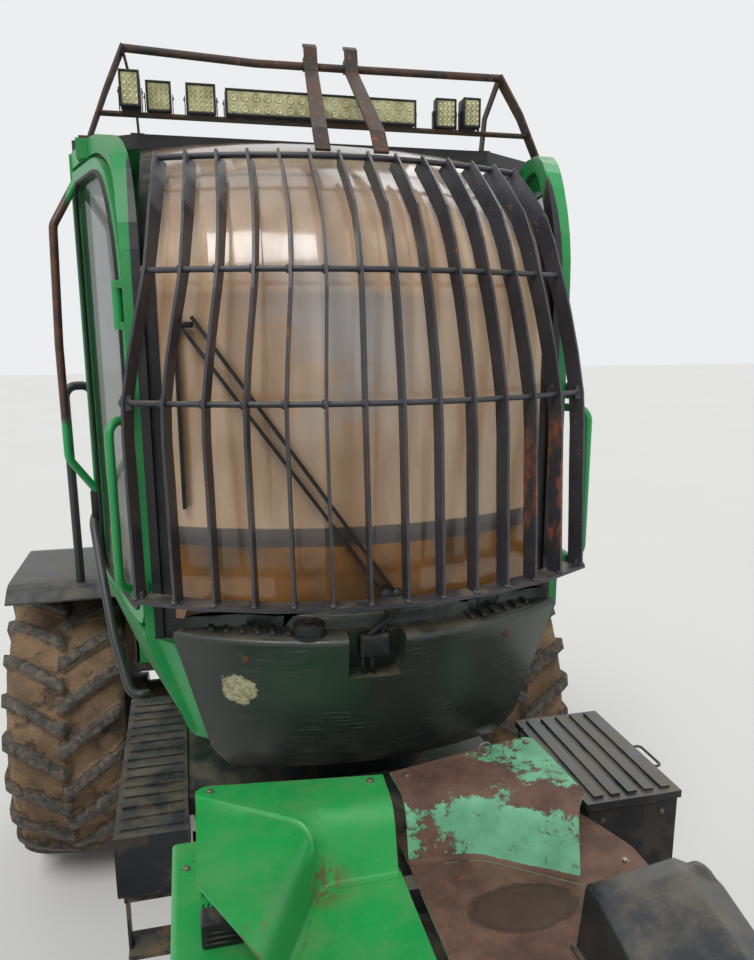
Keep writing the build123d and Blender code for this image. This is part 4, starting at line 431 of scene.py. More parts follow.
def lamp_lens():
    """Pale yellow-green lens with round cells, dusty."""
    finish = Finish("lamp_lens_pale", 0.7, {"Coat Weight": 0.6, "Coat Roughness": 0.08})
    tone = finish.cloud(0.05, 4.0)
    colour = finish.mix(tone.rise(0.35, 0.65), hue(206, 204, 156), hue(168, 166, 116))
    dirt = finish.cloud(0.02, 4.0).rise(0.56, 0.7)
    colour = finish.mix(dirt * 0.4, colour, hue(112, 104, 74))
    return finish.give(colour=colour, rough=dirt * 0.3 + 0.12)


def tread_rubber():
    """Tyre rubber: worn grey on the bars' tops, dried mud between them and on the walls."""
    finish = Finish("tread_muddy", 0.35)
    bar = finish.node("ShaderNodeAttribute", {"attribute_name": "bar"}, out="Fac")
    caked = finish.cloud(0.14, 7.0, 0.68)
    mud = (caked * 0.9 - bar * 0.26 + 0.14).rise(0.44, 0.56)
    rubber = finish.mix(finish.cloud(0.05, 4.0).rise(0.35, 0.65), hue(84, 80, 78), hue(58, 55, 54))
    earth = finish.mix(finish.cloud(0.2, 6.0, 0.65).rise(0.35, 0.65), hue(148, 120, 92), hue(114, 93, 74))
    earth = finish.mix(finish.cloud(0.012, 4.0).rise(0.5, 0.7) * 0.5, earth, hue(98, 76, 56))
    colour = finish.mix(mud, rubber, earth)
    film = (1 - mud) * finish.cloud(0.03, 4.0).rise(0.45, 0.65) * 0.45
    colour = finish.mix(film, colour, hue(140, 118, 92))
    rough = mud * 0.25 + 0.66
    lumps = mud * 1.2 + finish.cloud(0.02, 5.0, 0.7) * mud * 1.6 + finish.cloud(0.008, 3.0) * 0.4
    return finish.give(colour=colour, rough=rough, normal=finish.relief(lumps, 0.004))


def bright_steel(name, colour_light, colour_deep, rough_base, metal=1.0):
    """Bare steel drawn along its length, with handling marks."""
    finish = Finish(name, fixed={"Metallic": metal})
    lines = finish.cloud(0.01, 3.0, 0.6, (6.0, 1.0, 1.0))
    smears = finish.cloud(0.12, 4.0)
    colour = finish.mix(smears.rise(0.35, 0.7), colour_light, colour_deep)
    return finish.give(colour=colour, rough=lines * 0.12 + smears * 0.16 + rough_base,
                       normal=finish.relief(lines, 0.0003))


def worn_metal():
    """Steel rubbed bright by wood, brown between."""
    finish = Finish("steel_rubbed")
    share = finish.cloud(0.09, 6.0, 0.65).rise(0.42, 0.6)
    colour = finish.mix(share, hue(128, 122, 114), hue(104, 78, 58))
    worn = finish.edges(0.008)
    colour = finish.mix(worn * 0.6, colour, hue(168, 164, 156))
    metal = (1 - share) * 0.7
    return finish.give(colour=colour, rough=share * 0.35 + 0.38, metal=metal,
                       normal=finish.relief(finish.cloud(0.01, 4.0), 0.0008))


def matt_black(name, light, deep, grain=0.004, rough_base=0.6):
    """Rubber or moulded plastic with a fine grain and a little dust."""
    finish = Finish(name, 0.4)
    dust = finish.facing()[2].rise(0.2, 0.9) * finish.cloud(0.06, 4.0).rise(0.4, 0.7)
    colour = finish.mix(finish.cloud(0.05, 3.0).rise(0.3, 0.7), light, deep)
    colour = finish.mix(dust * 0.5, colour, hue(116, 108, 94))
    pits = finish.cells(grain)
    return finish.give(colour=colour, rough=dust * 0.2 + rough_base, normal=finish.relief(pits, 0.0006))


def seat_cloth():
    """Woven seat cloth: crossed threads, a paler middle panel, worn in patches."""
    finish = Finish("seat_weave", 0.25)
    x = finish.axes()[0]
    warp_threads = finish.node("ShaderNodeTexWave", {"bands_direction": "X"},
                               {"Vector": finish.place, "Scale": 110.0})
    weft_threads = finish.node("ShaderNodeTexWave", {"bands_direction": "DIAGONAL"},
                               {"Vector": finish.place, "Scale": 90.0})
    weave = warp_threads * 0.5 + weft_threads * 0.5
    colour = finish.mix(weave, hue(34, 34, 38), hue(58, 58, 62))
    middle = x.band(0.0, 0.13, 0.02)
    colour = finish.mix(middle * 0.5, colour, hue(84, 82, 80))
    worn = finish.cloud(0.12, 4.0).rise(0.45, 0.7)
    colour = finish.mix(worn * 0.3, colour, hue(110, 104, 94))
    return finish.give(colour=colour, rough=worn * 0.1 + 0.82, normal=finish.relief(weave, 0.001))


GREEN = hue(34, 158, 84), hue(24, 134, 68)
FINISHES = {
    "green_paint": painted("green_sprayed", *GREEN),
    "faded_mint": worn_deck_paint(),
    "frame_black": black_frame(),
    "guard_black": guard_paint(),
    "tank_green": tank_plastic(),
    "rack_rust": rack_steel(),
    "rim_green": painted("rim_green_muddy", hue(36, 128, 66), hue(30, 104, 54), 0.8, 1.3),
    "rod_chrome": bright_steel("rod_polished", hue(214, 214, 212), hue(184, 184, 182), 0.06),
    "tyre_rubber": tread_rubber(),
    "tinted_screen": tinted_screen(),
    "clear_glass": window_glass(),
    "lamp_glass": lamp_lens(),
    "rubber_black": matt_black("rubber_grained", hue(38, 38, 40), hue(26, 26, 28)),
    "seat_fabric": seat_cloth(),
    "cab_trim": matt_black("trim_grained", hue(62, 62, 66), hue(46, 46, 50), 0.003, 0.5),
    "worn_steel": worn_metal(),
}
NODE_FINISHES = {
    "cab_frame": painted("green_with_seal", *GREEN, extra=sealed_edges),
    "door": painted("green_rail_rusted", *GREEN, extra=rusted_rail),
    "deck_cover_right": painted("green_scraped", hue(38, 170, 84), hue(30, 152, 74), 0.5, 0.22, 0.30,
                                extra=scraped_folds),
    "cab_roof": painted("green_dark_front", *GREEN, extra=dark_front),
    "deck_lamp": matt_black("deck_lamp_ribbed", hue(40, 41, 45), hue(28, 29, 32), 0.004, 0.45),
}
RED_LENS = painted("lens_red", hue(150, 24, 20), hue(120, 16, 14), 0.1, 0.3, 0.2)
LAMP_CASE = matt_black("lamp_case_cast", hue(34, 35, 38), hue(24, 25, 28), 0.003, 0.42)
PIPE_STEEL = bright_steel("pipe_plated", hue(120, 118, 108), hue(92, 84, 68), 0.34, 0.8)
BLACKENED_STEEL = bright_steel("exhaust_blued", hue(84, 72, 64), hue(52, 44, 42), 0.42, 0.9)
HOUSING_BLACK = painted("housing_scuffed", hue(50, 54, 60), hue(36, 38, 42), 0.5, 0.35, 0.26)
RUSTED_BOLT = bright_steel("bolt_rusted", hue(128, 82, 52), hue(90, 60, 44), 0.5, 0.4)
BOLT_STEEL = bright_steel("bolt_zinc", hue(150, 146, 134), hue(112, 98, 80), 0.32, 0.85)

for part in frame["record"]["subparts"]:
    wanted = NODE_FINISHES.get(part["node"]) or FINISHES[part["material_slot"]]
    node = frame["nodes"][part["node"]]
    node.data.materials.clear()
    node.data.materials.append(wanted)


# Pieces: surfaces worked out as whole arrays

class Shell:
    """Closed surfaces gathered into one piece, each with its faces turned outwards."""

    def __init__(self):
        self.points = []
        self.faces = []
        self.values = []
        self.count = 0

    def add(self, points, *faces, value=None):
        """Adds one closed surface: like points become one, and the volume it holds gives its outside."""
        points = np.asarray(points, float).reshape(-1, 3)
        points, first, same = np.unique(np.round(points, 6), axis=0, return_index=True,
                                        return_inverse=True)
        same = same.ravel()
        centred = points - points.mean(axis=0)
        held, kept = 0.0, []
        for block in faces:
            corners = same[block]
            fresh = corners != np.roll(corners, 1, axis=1)
            sides_left = fresh.sum(axis=1)
            for sides in range(3, corners.shape[1] + 1):
                rows = sides_left == sides
                face = corners[rows][fresh[rows]].reshape(-1, sides)
                for k in range(1, sides - 1):
                    spans = np.cross(centred[face[:, k]], centred[face[:, k + 1]])
                    held += float((centred[face[:, 0]] * spans).sum())
                kept.append(face)
        for face in kept:
            self.faces.append((face if held > 0 else face[:, ::-1]) + self.count)
        self.points.append(points)
        self.values.append(np.zeros(len(points)) if value is None else np.ravel(value)[first])
        self.count += len(points)
        return self

    def piece(self, name, body, slot_name, finish=None, sharp=None, replaces=()):
        """One mesh object in its finish, riding on its body; edges past the sharp angle stay hard."""
        mesh = bpy.data.meshes.new(name)
        mesh.from_pydata(np.concatenate(self.points).tolist(), [],
                         [f for face in self.faces for f in face.tolist()])
        mesh.polygons.foreach_set("use_smooth", np.full(len(mesh.polygons), True))
        if sharp is not None:
            mesh.set_sharp_from_angle(angle=radians(sharp))
        mesh.update()
        mesh.materials.append(finish or FINISHES[slot_name])
        made = bpy.data.objects.new(name, mesh)
        bpy.context.collection.objects.link(made)
        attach(made, body)
        if replaces:
            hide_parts(*replaces)
        return made


def quads(rows, columns, wrap_rows=False, wrap_columns=False):
    """Faces of a rows by columns grid of points; a wrapped side joins its last to its first."""
    r = np.arange(rows if wrap_rows else rows - 1)[:, None]
    c = np.arange(columns if wrap_columns else columns - 1)[None, :]
    r1, c1 = (r + 1) % rows, (c + 1) % columns
    corners = np.stack(np.broadcast_arrays(r * columns + c, r * columns + c1, r1 * columns + c1,
                                           r1 * columns + c), -1)
    return corners.reshape(-1, 4)


def rim_loop(rows, columns):
    """Point numbers in order round the edge of a rows by columns grid."""
    row, column = np.arange(rows), np.arange(columns)
    return np.concatenate([column[:-1], row[:-1] * columns + columns - 1,
                           (rows - 1) * columns + column[:0:-1], row[:0:-1] * columns])


def unit(v):
    """Each vector at length one."""
    return v / np.linalg.norm(v, axis=-1, keepdims=True)


def frame_of(normal):
    """Two directions square to the normal and to each other, and the normal."""
    normal = unit(np.asarray(normal, float))
    hint = np.array([0.0, 0, 1]) if abs(normal[2]) < 0.9 else np.array([1.0, 0, 0])
    first = unit(np.cross(hint, normal))
    return first, np.cross(normal, first), normal


def add_turned(shell, profile, places, normal, count=12, six=False, lobes=0.0):
    """The profile of (height, radius), from axis to axis, turned about the normal at every place.

    Point(k, i, j) = place_k + r_j s_i (cos a_i first + sin a_i second) + h_j normal. The swell s_i is
    1, or for a six-sided head 1 / cos of the angle from the nearest flat, or 1 + lobes cos 24 a_i.
    """
    first, second, out = frame_of(normal)
    profile = np.asarray(profile, float)
    places = np.asarray(places, float).reshape(-1, 3)
    angle = np.linspace(0, 2 * pi, count, endpoint=False)
    swell = np.ones(count) + lobes * np.cos(24 * angle)
    if six:
        swell = 0.93 / np.cos((angle + pi / 12) % (pi / 3) - pi / 6)
    spoke = (np.cos(angle)[:, None] * first + np.sin(angle)[:, None] * second) * swell[:, None]
    one = profile[None, :, 1, None] * spoke[:, None] + profile[None, :, 0, None] * out
    points = places[:, None, None] + one[None]
    faces = quads(count, len(profile), wrap_rows=True)
    every = faces[None] + (np.arange(len(places)) * count * len(profile))[:, None, None]
    return shell.add(points, every.reshape(-1, 4))


def add_bolts(shell, places, normal, size):
    """Six-sided heads on round washers."""
    washer = np.array([(-0.1, 0), (-0.1, 1.25), (0.12, 1.25), (0.12, 0)]) * size
    head = np.array([(0.05, 0), (0.05, 1.0), (0.60, 1.0), (0.72, 0.82), (0.72, 0)]) * size
    add_turned(shell, washer, places, normal, 16)
    return add_turned(shell, head, places, normal, 12, six=True)


def bolt_piece(shell, name, body, finish=BOLT_STEEL):
    """The bolts gathered in a shell, as one steel piece."""
    shell.piece(name, body, "worn_steel", finish, sharp=30)


def lofted(rings):
    """Surface through like closed outlines, its ends closed by fans about their middles."""
    rings = np.asarray(rings, float)
    count, around = rings.shape[:2]
    points = np.concatenate([rings.reshape(-1, 3), rings[[0, -1]].mean(axis=1)])
    step = np.arange(around)
    start = np.stack([np.full(around, count * around), (step + 1) % around, step], -1)
    last = (count - 1) * around
    end = np.stack([np.full(around, count * around + 1), last + step, last + (step + 1) % around], -1)
    return points, quads(count, around, wrap_columns=True), start, end


def rounded_ring(half_a, half_b, corner, steps=4):
    """Outline of a rectangle with quarter-round corners, as points (a, b) in order round it."""
    turn = np.linspace(0, pi / 2, steps)
    quarter = np.stack([np.cos(turn), np.sin(turn)], -1) * corner + [half_a - corner, half_b - corner]
    return np.concatenate([quarter, quarter[::-1] * [-1, 1], -quarter, quarter[::-1] * [1, -1]])


def add_case(shell, low, high, corner, axis=1):
    """Case with round edges: a rounded outline at six stations, drawn in towards both ends."""
    low, high = np.asarray(low, float), np.asarray(high, float)
    half, middle = (high - low) / 2, (high + low) / 2
    a, b = [k for k in range(3) if k != axis]
    run = half[axis]
    stations = [-run, -run + corner * 0.3, -run + corner, run - corner, run - corner * 0.3, run]
    drawn = [corner, corner * 0.3, 0, 0, corner * 0.3, corner]
    rings = np.zeros((6, 16, 3))
    for ring, station, inset in zip(rings, stations, drawn):
        ring[:, [a, b]] = rounded_ring(half[a] - inset, half[b] - inset,
                                       max(corner - inset, corner * 0.2))
        ring[:, axis] = station
    return shell.add(*lofted(rings + middle))


MOST_OF_LEG = 0.48       # a bend takes up less than half of each leg


def soft_corner(before, corner, after, reach, steps=9):
    """Rows of points over a bend: each corner cut by a parabola that starts up to reach from it."""
    back, onward = before - corner, after - corner
    back = back * np.minimum(MOST_OF_LEG, reach / np.linalg.norm(back, axis=-1, keepdims=True))
    onward = onward * np.minimum(MOST_OF_LEG, reach / np.linalg.norm(onward, axis=-1, keepdims=True))
    t = np.linspace(0, 1, steps)[None, :, None]
    return corner[:, None] + back[:, None] * (1 - t) ** 2 + onward[:, None] * t ** 2


def eased_path(points, reach, steps=7):
    """Broken line with each inner corner cut by a parabola that starts up to reach from it."""
    points = np.asarray(points, float)
    bends = soft_corner(points[:-2], points[1:-1], points[2:], reach, steps)
    return np.concatenate([points[:1], bends.reshape(-1, points.shape[1]), points[-1:]])


def add_tube(shell, path, radius, sides=12, hint=(0.31, 0.17, 0.93), closed=False):
    """Round tube: a circle carried square to the path, closed at its ends or into a loop.

    Point(i, j) = path_i + radius (cos b_j side_i + sin b_j lift_i).
    """
    path = np.asarray(path, float)
    if closed:
        along = unit(np.roll(path, -1, axis=0) - np.roll(path, 1, axis=0))
    else:
        along = unit(np.gradient(path, axis=0))
    side = unit(np.cross(along, np.asarray(hint)))
    lift = np.cross(along, side)
    turn = np.linspace(0, 2 * pi, sides, endpoint=False)[None, :, None]
    rings = path[:, None] + radius * (np.cos(turn) * side[:, None] + np.sin(turn) * lift[:, None])
    if closed:
        return shell.add(rings, quads(len(path), sides, wrap_rows=True, wrap_columns=True))
    return shell.add(*lofted(rings))


def add_flat(shell, path, inward, depth, thick):
    """Flat bar: a rectangle with eased edges carried along the path, its depth running inwards."""
    path = np.asarray(path, float)
    along = unit(np.gradient(path, axis=0))
    side = unit(np.cross(along, np.asarray(inward, float)))
    deep = np.cross(side, along)
    ring = rounded_ring(thick / 2, depth / 2, min(thick, depth) * 0.25)
    rings = path[:, None] + ring[None, :, :1] * side[:, None]
    rings = rings + (ring[None, :, 1:] + depth / 2) * deep[:, None]
    return shell.add(*lofted(rings))


def by_index(line, count):
    """The same line as that many points, evenly spaced by index, so that lines of like corners match."""
    line = np.asarray(line, float)
    at = np.linspace(0, len(line) - 1, count)
    return np.stack([np.interp(at, np.arange(len(line)), column) for column in line.T], -1)


def add_sheet(shell, grid, thick):
    """Sheet metal: a grid, the same grid moved down its own normals, and a rim that joins them."""
    rows, columns = grid.shape[:2]
    normal = unit(np.cross(np.gradient(grid, axis=0), np.gradient(grid, axis=1)))
    normal = normal * np.sign(normal[rows // 2, 1, 2])
    count = rows * columns
    top = quads(rows, columns)
    loop = rim_loop(rows, columns)
    onward = np.roll(loop, -1)
    rim = np.stack([onward, loop, loop + count, onward + count], -1)
    points = np.concatenate([grid.reshape(-1, 3), (grid - normal * thick).reshape(-1, 3)])
    return shell.add(points, top, top[:, ::-1] + count, rim)


def in_row(points):
    """Points of the machine's own frame, moved into the row frame."""
    return np.asarray(points, float) + np.array([0, SHIFT_Y, 0])


# Tyres and rims

LUGS = 22                # bars in each row round a tyre
LUG_SWEEP, LUG_TIP, LUG_ROOT, LUG_HEIGHT = 0.220, 0.066, 0.084, 0.046


def smooth_line(points, rounds=3):
    """Corner cutting: each round puts two points a quarter in from every leg's ends."""
    line = np.asarray(points, float)
    for _ in range(rounds):
        inner = np.stack([0.75 * line[:-1] + 0.25 * line[1:], 0.25 * line[:-1] + 0.75 * line[1:]],
                         1).reshape(-1, 2)
        line = np.concatenate([line[:1], inner, line[-1:]])
    return line


def even_line(line, count):
    """The same line at equal steps of its length."""
    run = np.concatenate([[0], np.cumsum(np.linalg.norm(np.diff(line, axis=0), axis=1))])
    at = np.linspace(0, run[-1], count)
    return np.stack([np.interp(at, run, line[:, 0]), np.interp(at, run, line[:, 1])], -1)


def tyre(name, body, centre, radius, width, rim_radius, side):
    """Tread tyre: a rounded section carried round the axle, with swept bars raised from it.

    Point(i, j) = section_j turned by a_i plus the bars' sweep at that width, moved
    along the section's own normal by the bar's height times its rise at that place.
    """
    half = width / 2
    crown = radius - LUG_HEIGHT - 0.004
    mid = (crown + rim_radius) / 2
    right_half = [(0.0, crown), (half * 0.55, crown - 0.010), (half - 0.045, crown - 0.030),
                  (half - 0.008, crown - 0.085), (half - 0.002, mid), (half - 0.025, mid - 0.07),
                  (half - 0.062, rim_radius + 0.03), (half - 0.070, rim_radius - 0.004)]
    mirrored = [(-x, r) for x, r in right_half[::-1]]
    section = even_line(smooth_line(mirrored[:-1] + right_half), 64)
    pitch = 2 * pi * radius / LUGS
    tip, root = LUG_TIP / 2, LUG_ROOT / 2
    one = [-root, -tip, -tip * 0.4, tip * 0.4, tip, root]
    both = one + [pitch / 2 + v for v in one] + [pitch / 4, 3 * pitch / 4]
    stations = np.array(sorted(set(round(v % pitch, 5) for v in both)))
    arc = (np.arange(LUGS)[:, None] * pitch + stations[None, :]).ravel()
    x, r = section[None, :, 0], section[None, :, 1]
    sweep = LUG_SWEEP * (np.abs(x) / half - 0.5)
    angle = (arc[:, None] + sweep) / radius

    def rise(offset, inner_edge, keep):
        """Height share of the bars that start at the offset, on the side of the tread that keep names."""
        gap = np.abs((arc[:, None] - offset + pitch / 2) % pitch - pitch / 2)
        flank = np.clip((root - gap) / (root - tip), 0, 1)
        inner = np.clip((keep * x + 0.020 - inner_edge) / 0.010, 0, 1)
        return flank * inner

    bars = np.maximum(rise(0, 0, 1), rise(pitch / 2, 0, -1))
    shoulder = np.clip((r - (mid + 0.02)) / (crown - mid - 0.10), 0, 1)
    lift = bars * LUG_HEIGHT * shoulder ** 0.6
    slope = np.gradient(section, axis=0)
    normal = unit(np.stack([-slope[:, 1], slope[:, 0]], -1))[None]
    wobble = 0.004 * np.sin(angle * 17 + x * 31) * np.sin(angle * 7 - x * 19)
    high = lift + wobble * (1 - bars) * (shoulder > 0)
    xs = np.clip(x + normal[..., 0] * high, -half, half)
    rs = r + np.abs(normal[..., 1]) * high
    rs = np.minimum(rs, radius - 0.001)
    points = np.stack([side * xs, rs * np.sin(angle), rs * np.cos(angle)], -1) + np.asarray(centre)
    faces = quads(len(arc), section.shape[0], wrap_rows=True, wrap_columns=True)
    shell = Shell().add(points, faces, value=np.broadcast_to(bars * shoulder, points.shape[:2]))
    made = shell.piece(f"tread_{name}", body, "tyre_rubber", replaces=(f"tyre_{name}",))
    tone = made.data.attributes.new("bar", "FLOAT", "POINT")
    tone.data.foreach_set("value", np.concatenate(shell.values).astype(np.float32))


def rim(name, body, centre, width, rim_radius, disc_x, drum_x, side):
    """Wheel: one section turned about the axle, from the rim's edges to the hub's cap."""
    edge = width / 2 - 0.062
    r = rim_radius - 0.001
    line = np.array([
        (disc_x, 0), (disc_x, 0.186), (disc_x, r - 0.05), (disc_x - 0.01, r - 0.026),
        (-edge + 0.05, r - 0.024), (-edge, r - 0.016), (-edge, r + 0.012), (-edge + 0.012, r + 0.014),
        (-edge + 0.016, r - 0.002), (edge - 0.016, r - 0.002), (edge - 0.012, r + 0.014),
        (edge, r + 0.012), (edge, r - 0.016), (edge - 0.03, r - 0.022), (disc_x + 0.06, r - 0.026),
        (disc_x + 0.034, r - 0.05), (disc_x + 0.024, r - 0.075), (disc_x + 0.022, 0.215),
        (disc_x + 0.05, 0.186), (drum_x - 0.02, 0.183), (drum_x, 0.170), (drum_x + 0.001, 0.118),
        (drum_x + 0.034, 0.110), (drum_x + 0.038, 0.095), (drum_x + 0.038, 0.0)])
    turned = add_turned(Shell(), line, centre, (side, 0, 0), 64)
    turned.piece(f"wheel_{name}", body, "rim_green", sharp=32, replaces=(f"rim_{name}",))
    nuts = Shell()
    for count, face_x, circle, size in ((14, disc_x + 0.023, 0.245, 0.019), (10, drum_x, 0.145, 0.011)):
        angle = np.linspace(0, 2 * pi, count, endpoint=False)
        ring = np.stack([np.full(count, side * face_x), circle * np.sin(angle),
                         circle * np.cos(angle)], -1)
        add_bolts(nuts, ring + np.asarray(centre), (side, 0, 0), size)
    bolt_piece(nuts, f"wheel_nuts_{name}", body)


HALF_WIDTH = round(CAD_BOX[1][0], 3)   # of the machine, over its tyres
FRONT_SIZE = {"radius": 0.670, "width": 0.710, "rim_radius": 0.340}
REAR_SIZE = {"radius": 0.820, "width": 0.600, "rim_radius": 0.430}
for axle, hub_x, drum_x, size in (("bogie_front", 1.0103, 0.110, FRONT_SIZE),
                                  ("bogie_rear", 1.0103, 0.110, FRONT_SIZE),
                                  ("rear", 1.1203, 0.130, REAR_SIZE)):
    for hand, side in (("left", 1), ("right", -1)):
        wheel = f"{axle}_{hand}"
        low_corner, high_corner = (np.array(c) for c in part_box(f"rim_{wheel}"))
        middle = (low_corner + high_corner) / 2
        middle[0] = side * (HALF_WIDTH - size["width"] / 2)
        tyre(wheel, f"wheel_{wheel}", middle, side=side, **size)
        rim(wheel, f"wheel_{wheel}", middle, size["width"], size["rim_radius"], hub_x - abs(middle[0]),
            drum_x, side)


# Work lamps: cases with a raised rim, fins behind, and rows of round cells on the lens

LAMP_FRONT_BACK, RAIL_Z = 1.350, 3.8125
WORK_LAMPS = [  # x low, x high, height, depth, cells across, cells up
    (-0.735, -0.665, 0.120, 0.110, 3, 5), (-0.648, -0.560, 0.104, 0.060, 4, 5),
    (-0.510, -0.405, 0.104, 0.060, 5, 5), (-0.372, 0.344, 0.092, 0.070, 17, 2),
    (0.424, 0.508, 0.108, 0.060, 4, 5), (0.526, 0.596, 0.108, 0.090, 3, 5)]
cases, lenses, lamp_bolts = Shell(), Shell(), Shell()
for x0, x1, height, depth, across, rows in WORK_LAMPS:
    y0, y1 = LAMP_FRONT_BACK - depth + SHIFT_Y, LAMP_FRONT_BACK + SHIFT_Y
    z0, z1 = RAIL_Z + 0.002, RAIL_Z + height
    rim_width = 0.007
    add_case(cases, (x0, y0 + 0.008, z0), (x1, y1 - 0.020, z1), 0.006)
    for low, high in (((x0, z0), (x1, z0 + rim_width)), ((x0, z1 - rim_width), (x1, z1)),
                      ((x0, z0), (x0 + rim_width, z1)), ((x1 - rim_width, z0), (x1, z1))):
        add_case(cases, (low[0], y0, low[1]), (high[0], y0 + 0.012, high[1]), 0.0025)
    for x in np.arange(x0 + 0.008, x1 - 0.006, 0.013):
        add_case(cases, (x, y1 - 0.024, z0 + 0.006), (x + 0.004, y1, z1 - 0.006), 0.0015)
    add_case(lenses, (x0 + rim_width, y0 + 0.004, z0 + rim_width),
             (x1 - rim_width, y0 + 0.010, z1 - rim_width), 0.002)
    xs = x0 + rim_width + (x1 - x0 - 2 * rim_width) * (np.arange(across) + 0.5) / across
    zs = z0 + rim_width + (z1 - z0 - 2 * rim_width) * (np.arange(rows) + 0.5) / rows
    spots = np.stack([np.tile(xs, rows), np.full(across * rows, y0 + 0.0045), np.repeat(zs, across)], -1)
    cell = min((x1 - x0) / across, (z1 - z0) / rows) * 0.40
    dome = [(-0.001, 0), (-0.001, cell), (0.0005, cell), (0.003, cell * 0.86), (0.0015, cell * 0.62),
            (0.0005, cell * 0.3), (0.003, cell * 0.12), (0.0034, 0)]
    add_turned(lenses, dome, spots, (0, -1, 0), 14)
    mid_y = (y0 + y1) / 2 - 0.005
    for x, out in ((x0, -1), (x1, 1)):
        add_flat(cases, [(x + out * 0.004, mid_y + 0.012, RAIL_Z - 0.002),
                         (x + out * 0.004, mid_y + 0.012, RAIL_Z + height * 0.6)],
                 (0, -1, 0), 0.024, 0.003)
        add_bolts(lamp_bolts, [(x + out * 0.0055, mid_y, RAIL_Z + height * 0.5)], (out, 0, 0), 0.005)
cases.piece("lamp_cases", "cab", "rubber_black", LAMP_CASE, sharp=35, replaces=("work_lamps",))
lenses.piece("lamp_lenses", "cab", "lamp_glass", sharp=50)
bolt_piece(lamp_bolts, "lamp_bolts", "cab")

# Guard: weld beads where the bars cross the rails, and bolts in its ears

GUARD_R, BAR_COUNT = 1.340, 14
BAR_SHARE = np.linspace(-1, 1, BAR_COUNT)


def guard_spots(z, half, middle, back, down):
    """Where the bars cross a rail: an arc of the guard's radius, moved back and down."""
    x = half * BAR_SHARE
    return in_row(np.stack([x, middle + GUARD_R - np.sqrt(GUARD_R ** 2 - x ** 2) + back,
                            np.full(BAR_COUNT, z - down)], -1))


beads = Shell()
lump = [(-0.013, 0), (-0.010, 0.011), (-0.003, 0.0150), (0.003, 0.0150), (0.010, 0.011), (0.013, 0)]
add_turned(beads, lump, guard_spots(2.841, 0.754, 0.402, 0.025, 0), (1, 0, 0), 12)
add_turned(beads, lump, guard_spots(3.237, 0.668, 0.483, 0.022, 0.010), (1, 0, 0), 12)
foot = guard_spots(2.237, 0.751, 0.345, 0.010, -0.007)
add_turned(beads, [(-0.001, 0), (-0.001, 0.013), (0.004, 0.012), (0.009, 0.007), (0.010, 0)], foot,
           (0, 0, 1), 10)
beads.piece("guard_welds", "cab", "guard_black")
ear_bolts = Shell()
for side in (-1, 1):
    add_bolts(ear_bolts, in_row([(side * 0.748, 0.680, 2.841), (side * 0.748, 0.620, 2.246)]),
              (side, 0, 0), 0.014)
bolt_piece(ear_bolts, "guard_bolts", "cab")

# Deck covers: sheets that leave a raised flat, bend softly over and fall to the deck

DECK_TOP, COVER_TOP, SHEET = 1.490, 1.670, 0.006


def folded_cover(shell, back, fold, foot, soft, tip_drop):
    """Sheet across matching lines: back edge, fold, foot, then a short lap on the deck.

    Point(u, v) runs at every station u from the back edge to the fold, over a parabola of
    that softness down to the foot, and out on the deck; the last fifth of u sags by tip_drop s^2.
    """
    lines = []
    for plan, height in ((back, COVER_TOP), (fold, COVER_TOP), (foot, DECK_TOP + 0.002)):
        line = by_index(eased_path(plan, 0.05, 9), 61)
        lines.append(np.column_stack([line, np.full(61, height)]))
    hind, bend, low = lines
    sag = tip_drop * np.clip((np.linspace(0, 1, 61) - 0.8) / 0.2, 0, 1) ** 2
    bend[:, 2] -= sag
    hind[:, 2] -= sag * 0.2
    away = low - bend
    lap = low + unit(away * [1, 1, 0]) * 0.022
    bent = soft_corner(hind, bend, low, soft)
    flat = np.linspace(hind, bent[:, 0], 7).transpose(1, 0, 2)[:, :6]
    rows = np.concatenate([flat, bent, soft_corner(bend, low, lap, 0.010, 5), lap[:, None]], axis=1)
    return add_sheet(shell, in_row(rows), SHEET)


def deck_plate(shell, edge, ends_x, back, front, lip):
    """Flat sheet whose outer edge bends down: the line across, carried from back to front."""
    across = np.concatenate([[[x, DECK_TOP] for x in ends_x],
                             eased_path([(ends_x[-1], DECK_TOP), (edge, DECK_TOP),
                                         (edge, DECK_TOP - lip)], 0.020)[1:]])
    wide = np.abs(across[:, 0])
    y_back = np.interp(wide, np.abs(ends_x + [edge]), back)
    y_front = np.interp(wide, np.abs(ends_x + [edge]), front)
    share = np.linspace(0, 1, 9)[None, :]
    y = y_back[:, None] + (y_front - y_back)[:, None] * share
    grid = np.stack([np.broadcast_to(across[:, :1], y.shape), y,
                     np.broadcast_to(across[:, 1:], y.shape)], -1)
    return add_sheet(shell, in_row(grid), SHEET)


def cover_wall(shell, x, y_low, y_high):
    """Upright sheet under the raised flat's outer edge, its front end cut slanting."""
    share = np.linspace(0, 1, 5)[:, None]
    height = np.array([DECK_TOP + 0.001, COVER_TOP - SHEET])[None, :]
    start = np.array([y_low, y_low + 0.06])[None, :]
    rings = []
    for side in (x, x + SHEET):
        grid = np.stack(np.broadcast_arrays(side, start + (y_high - start) * share, height), -1)
        rings.append(grid[[0, 0, -1, -1], [0, 1, 1, 0]])
    return shell.add(*lofted(in_row(rings)))


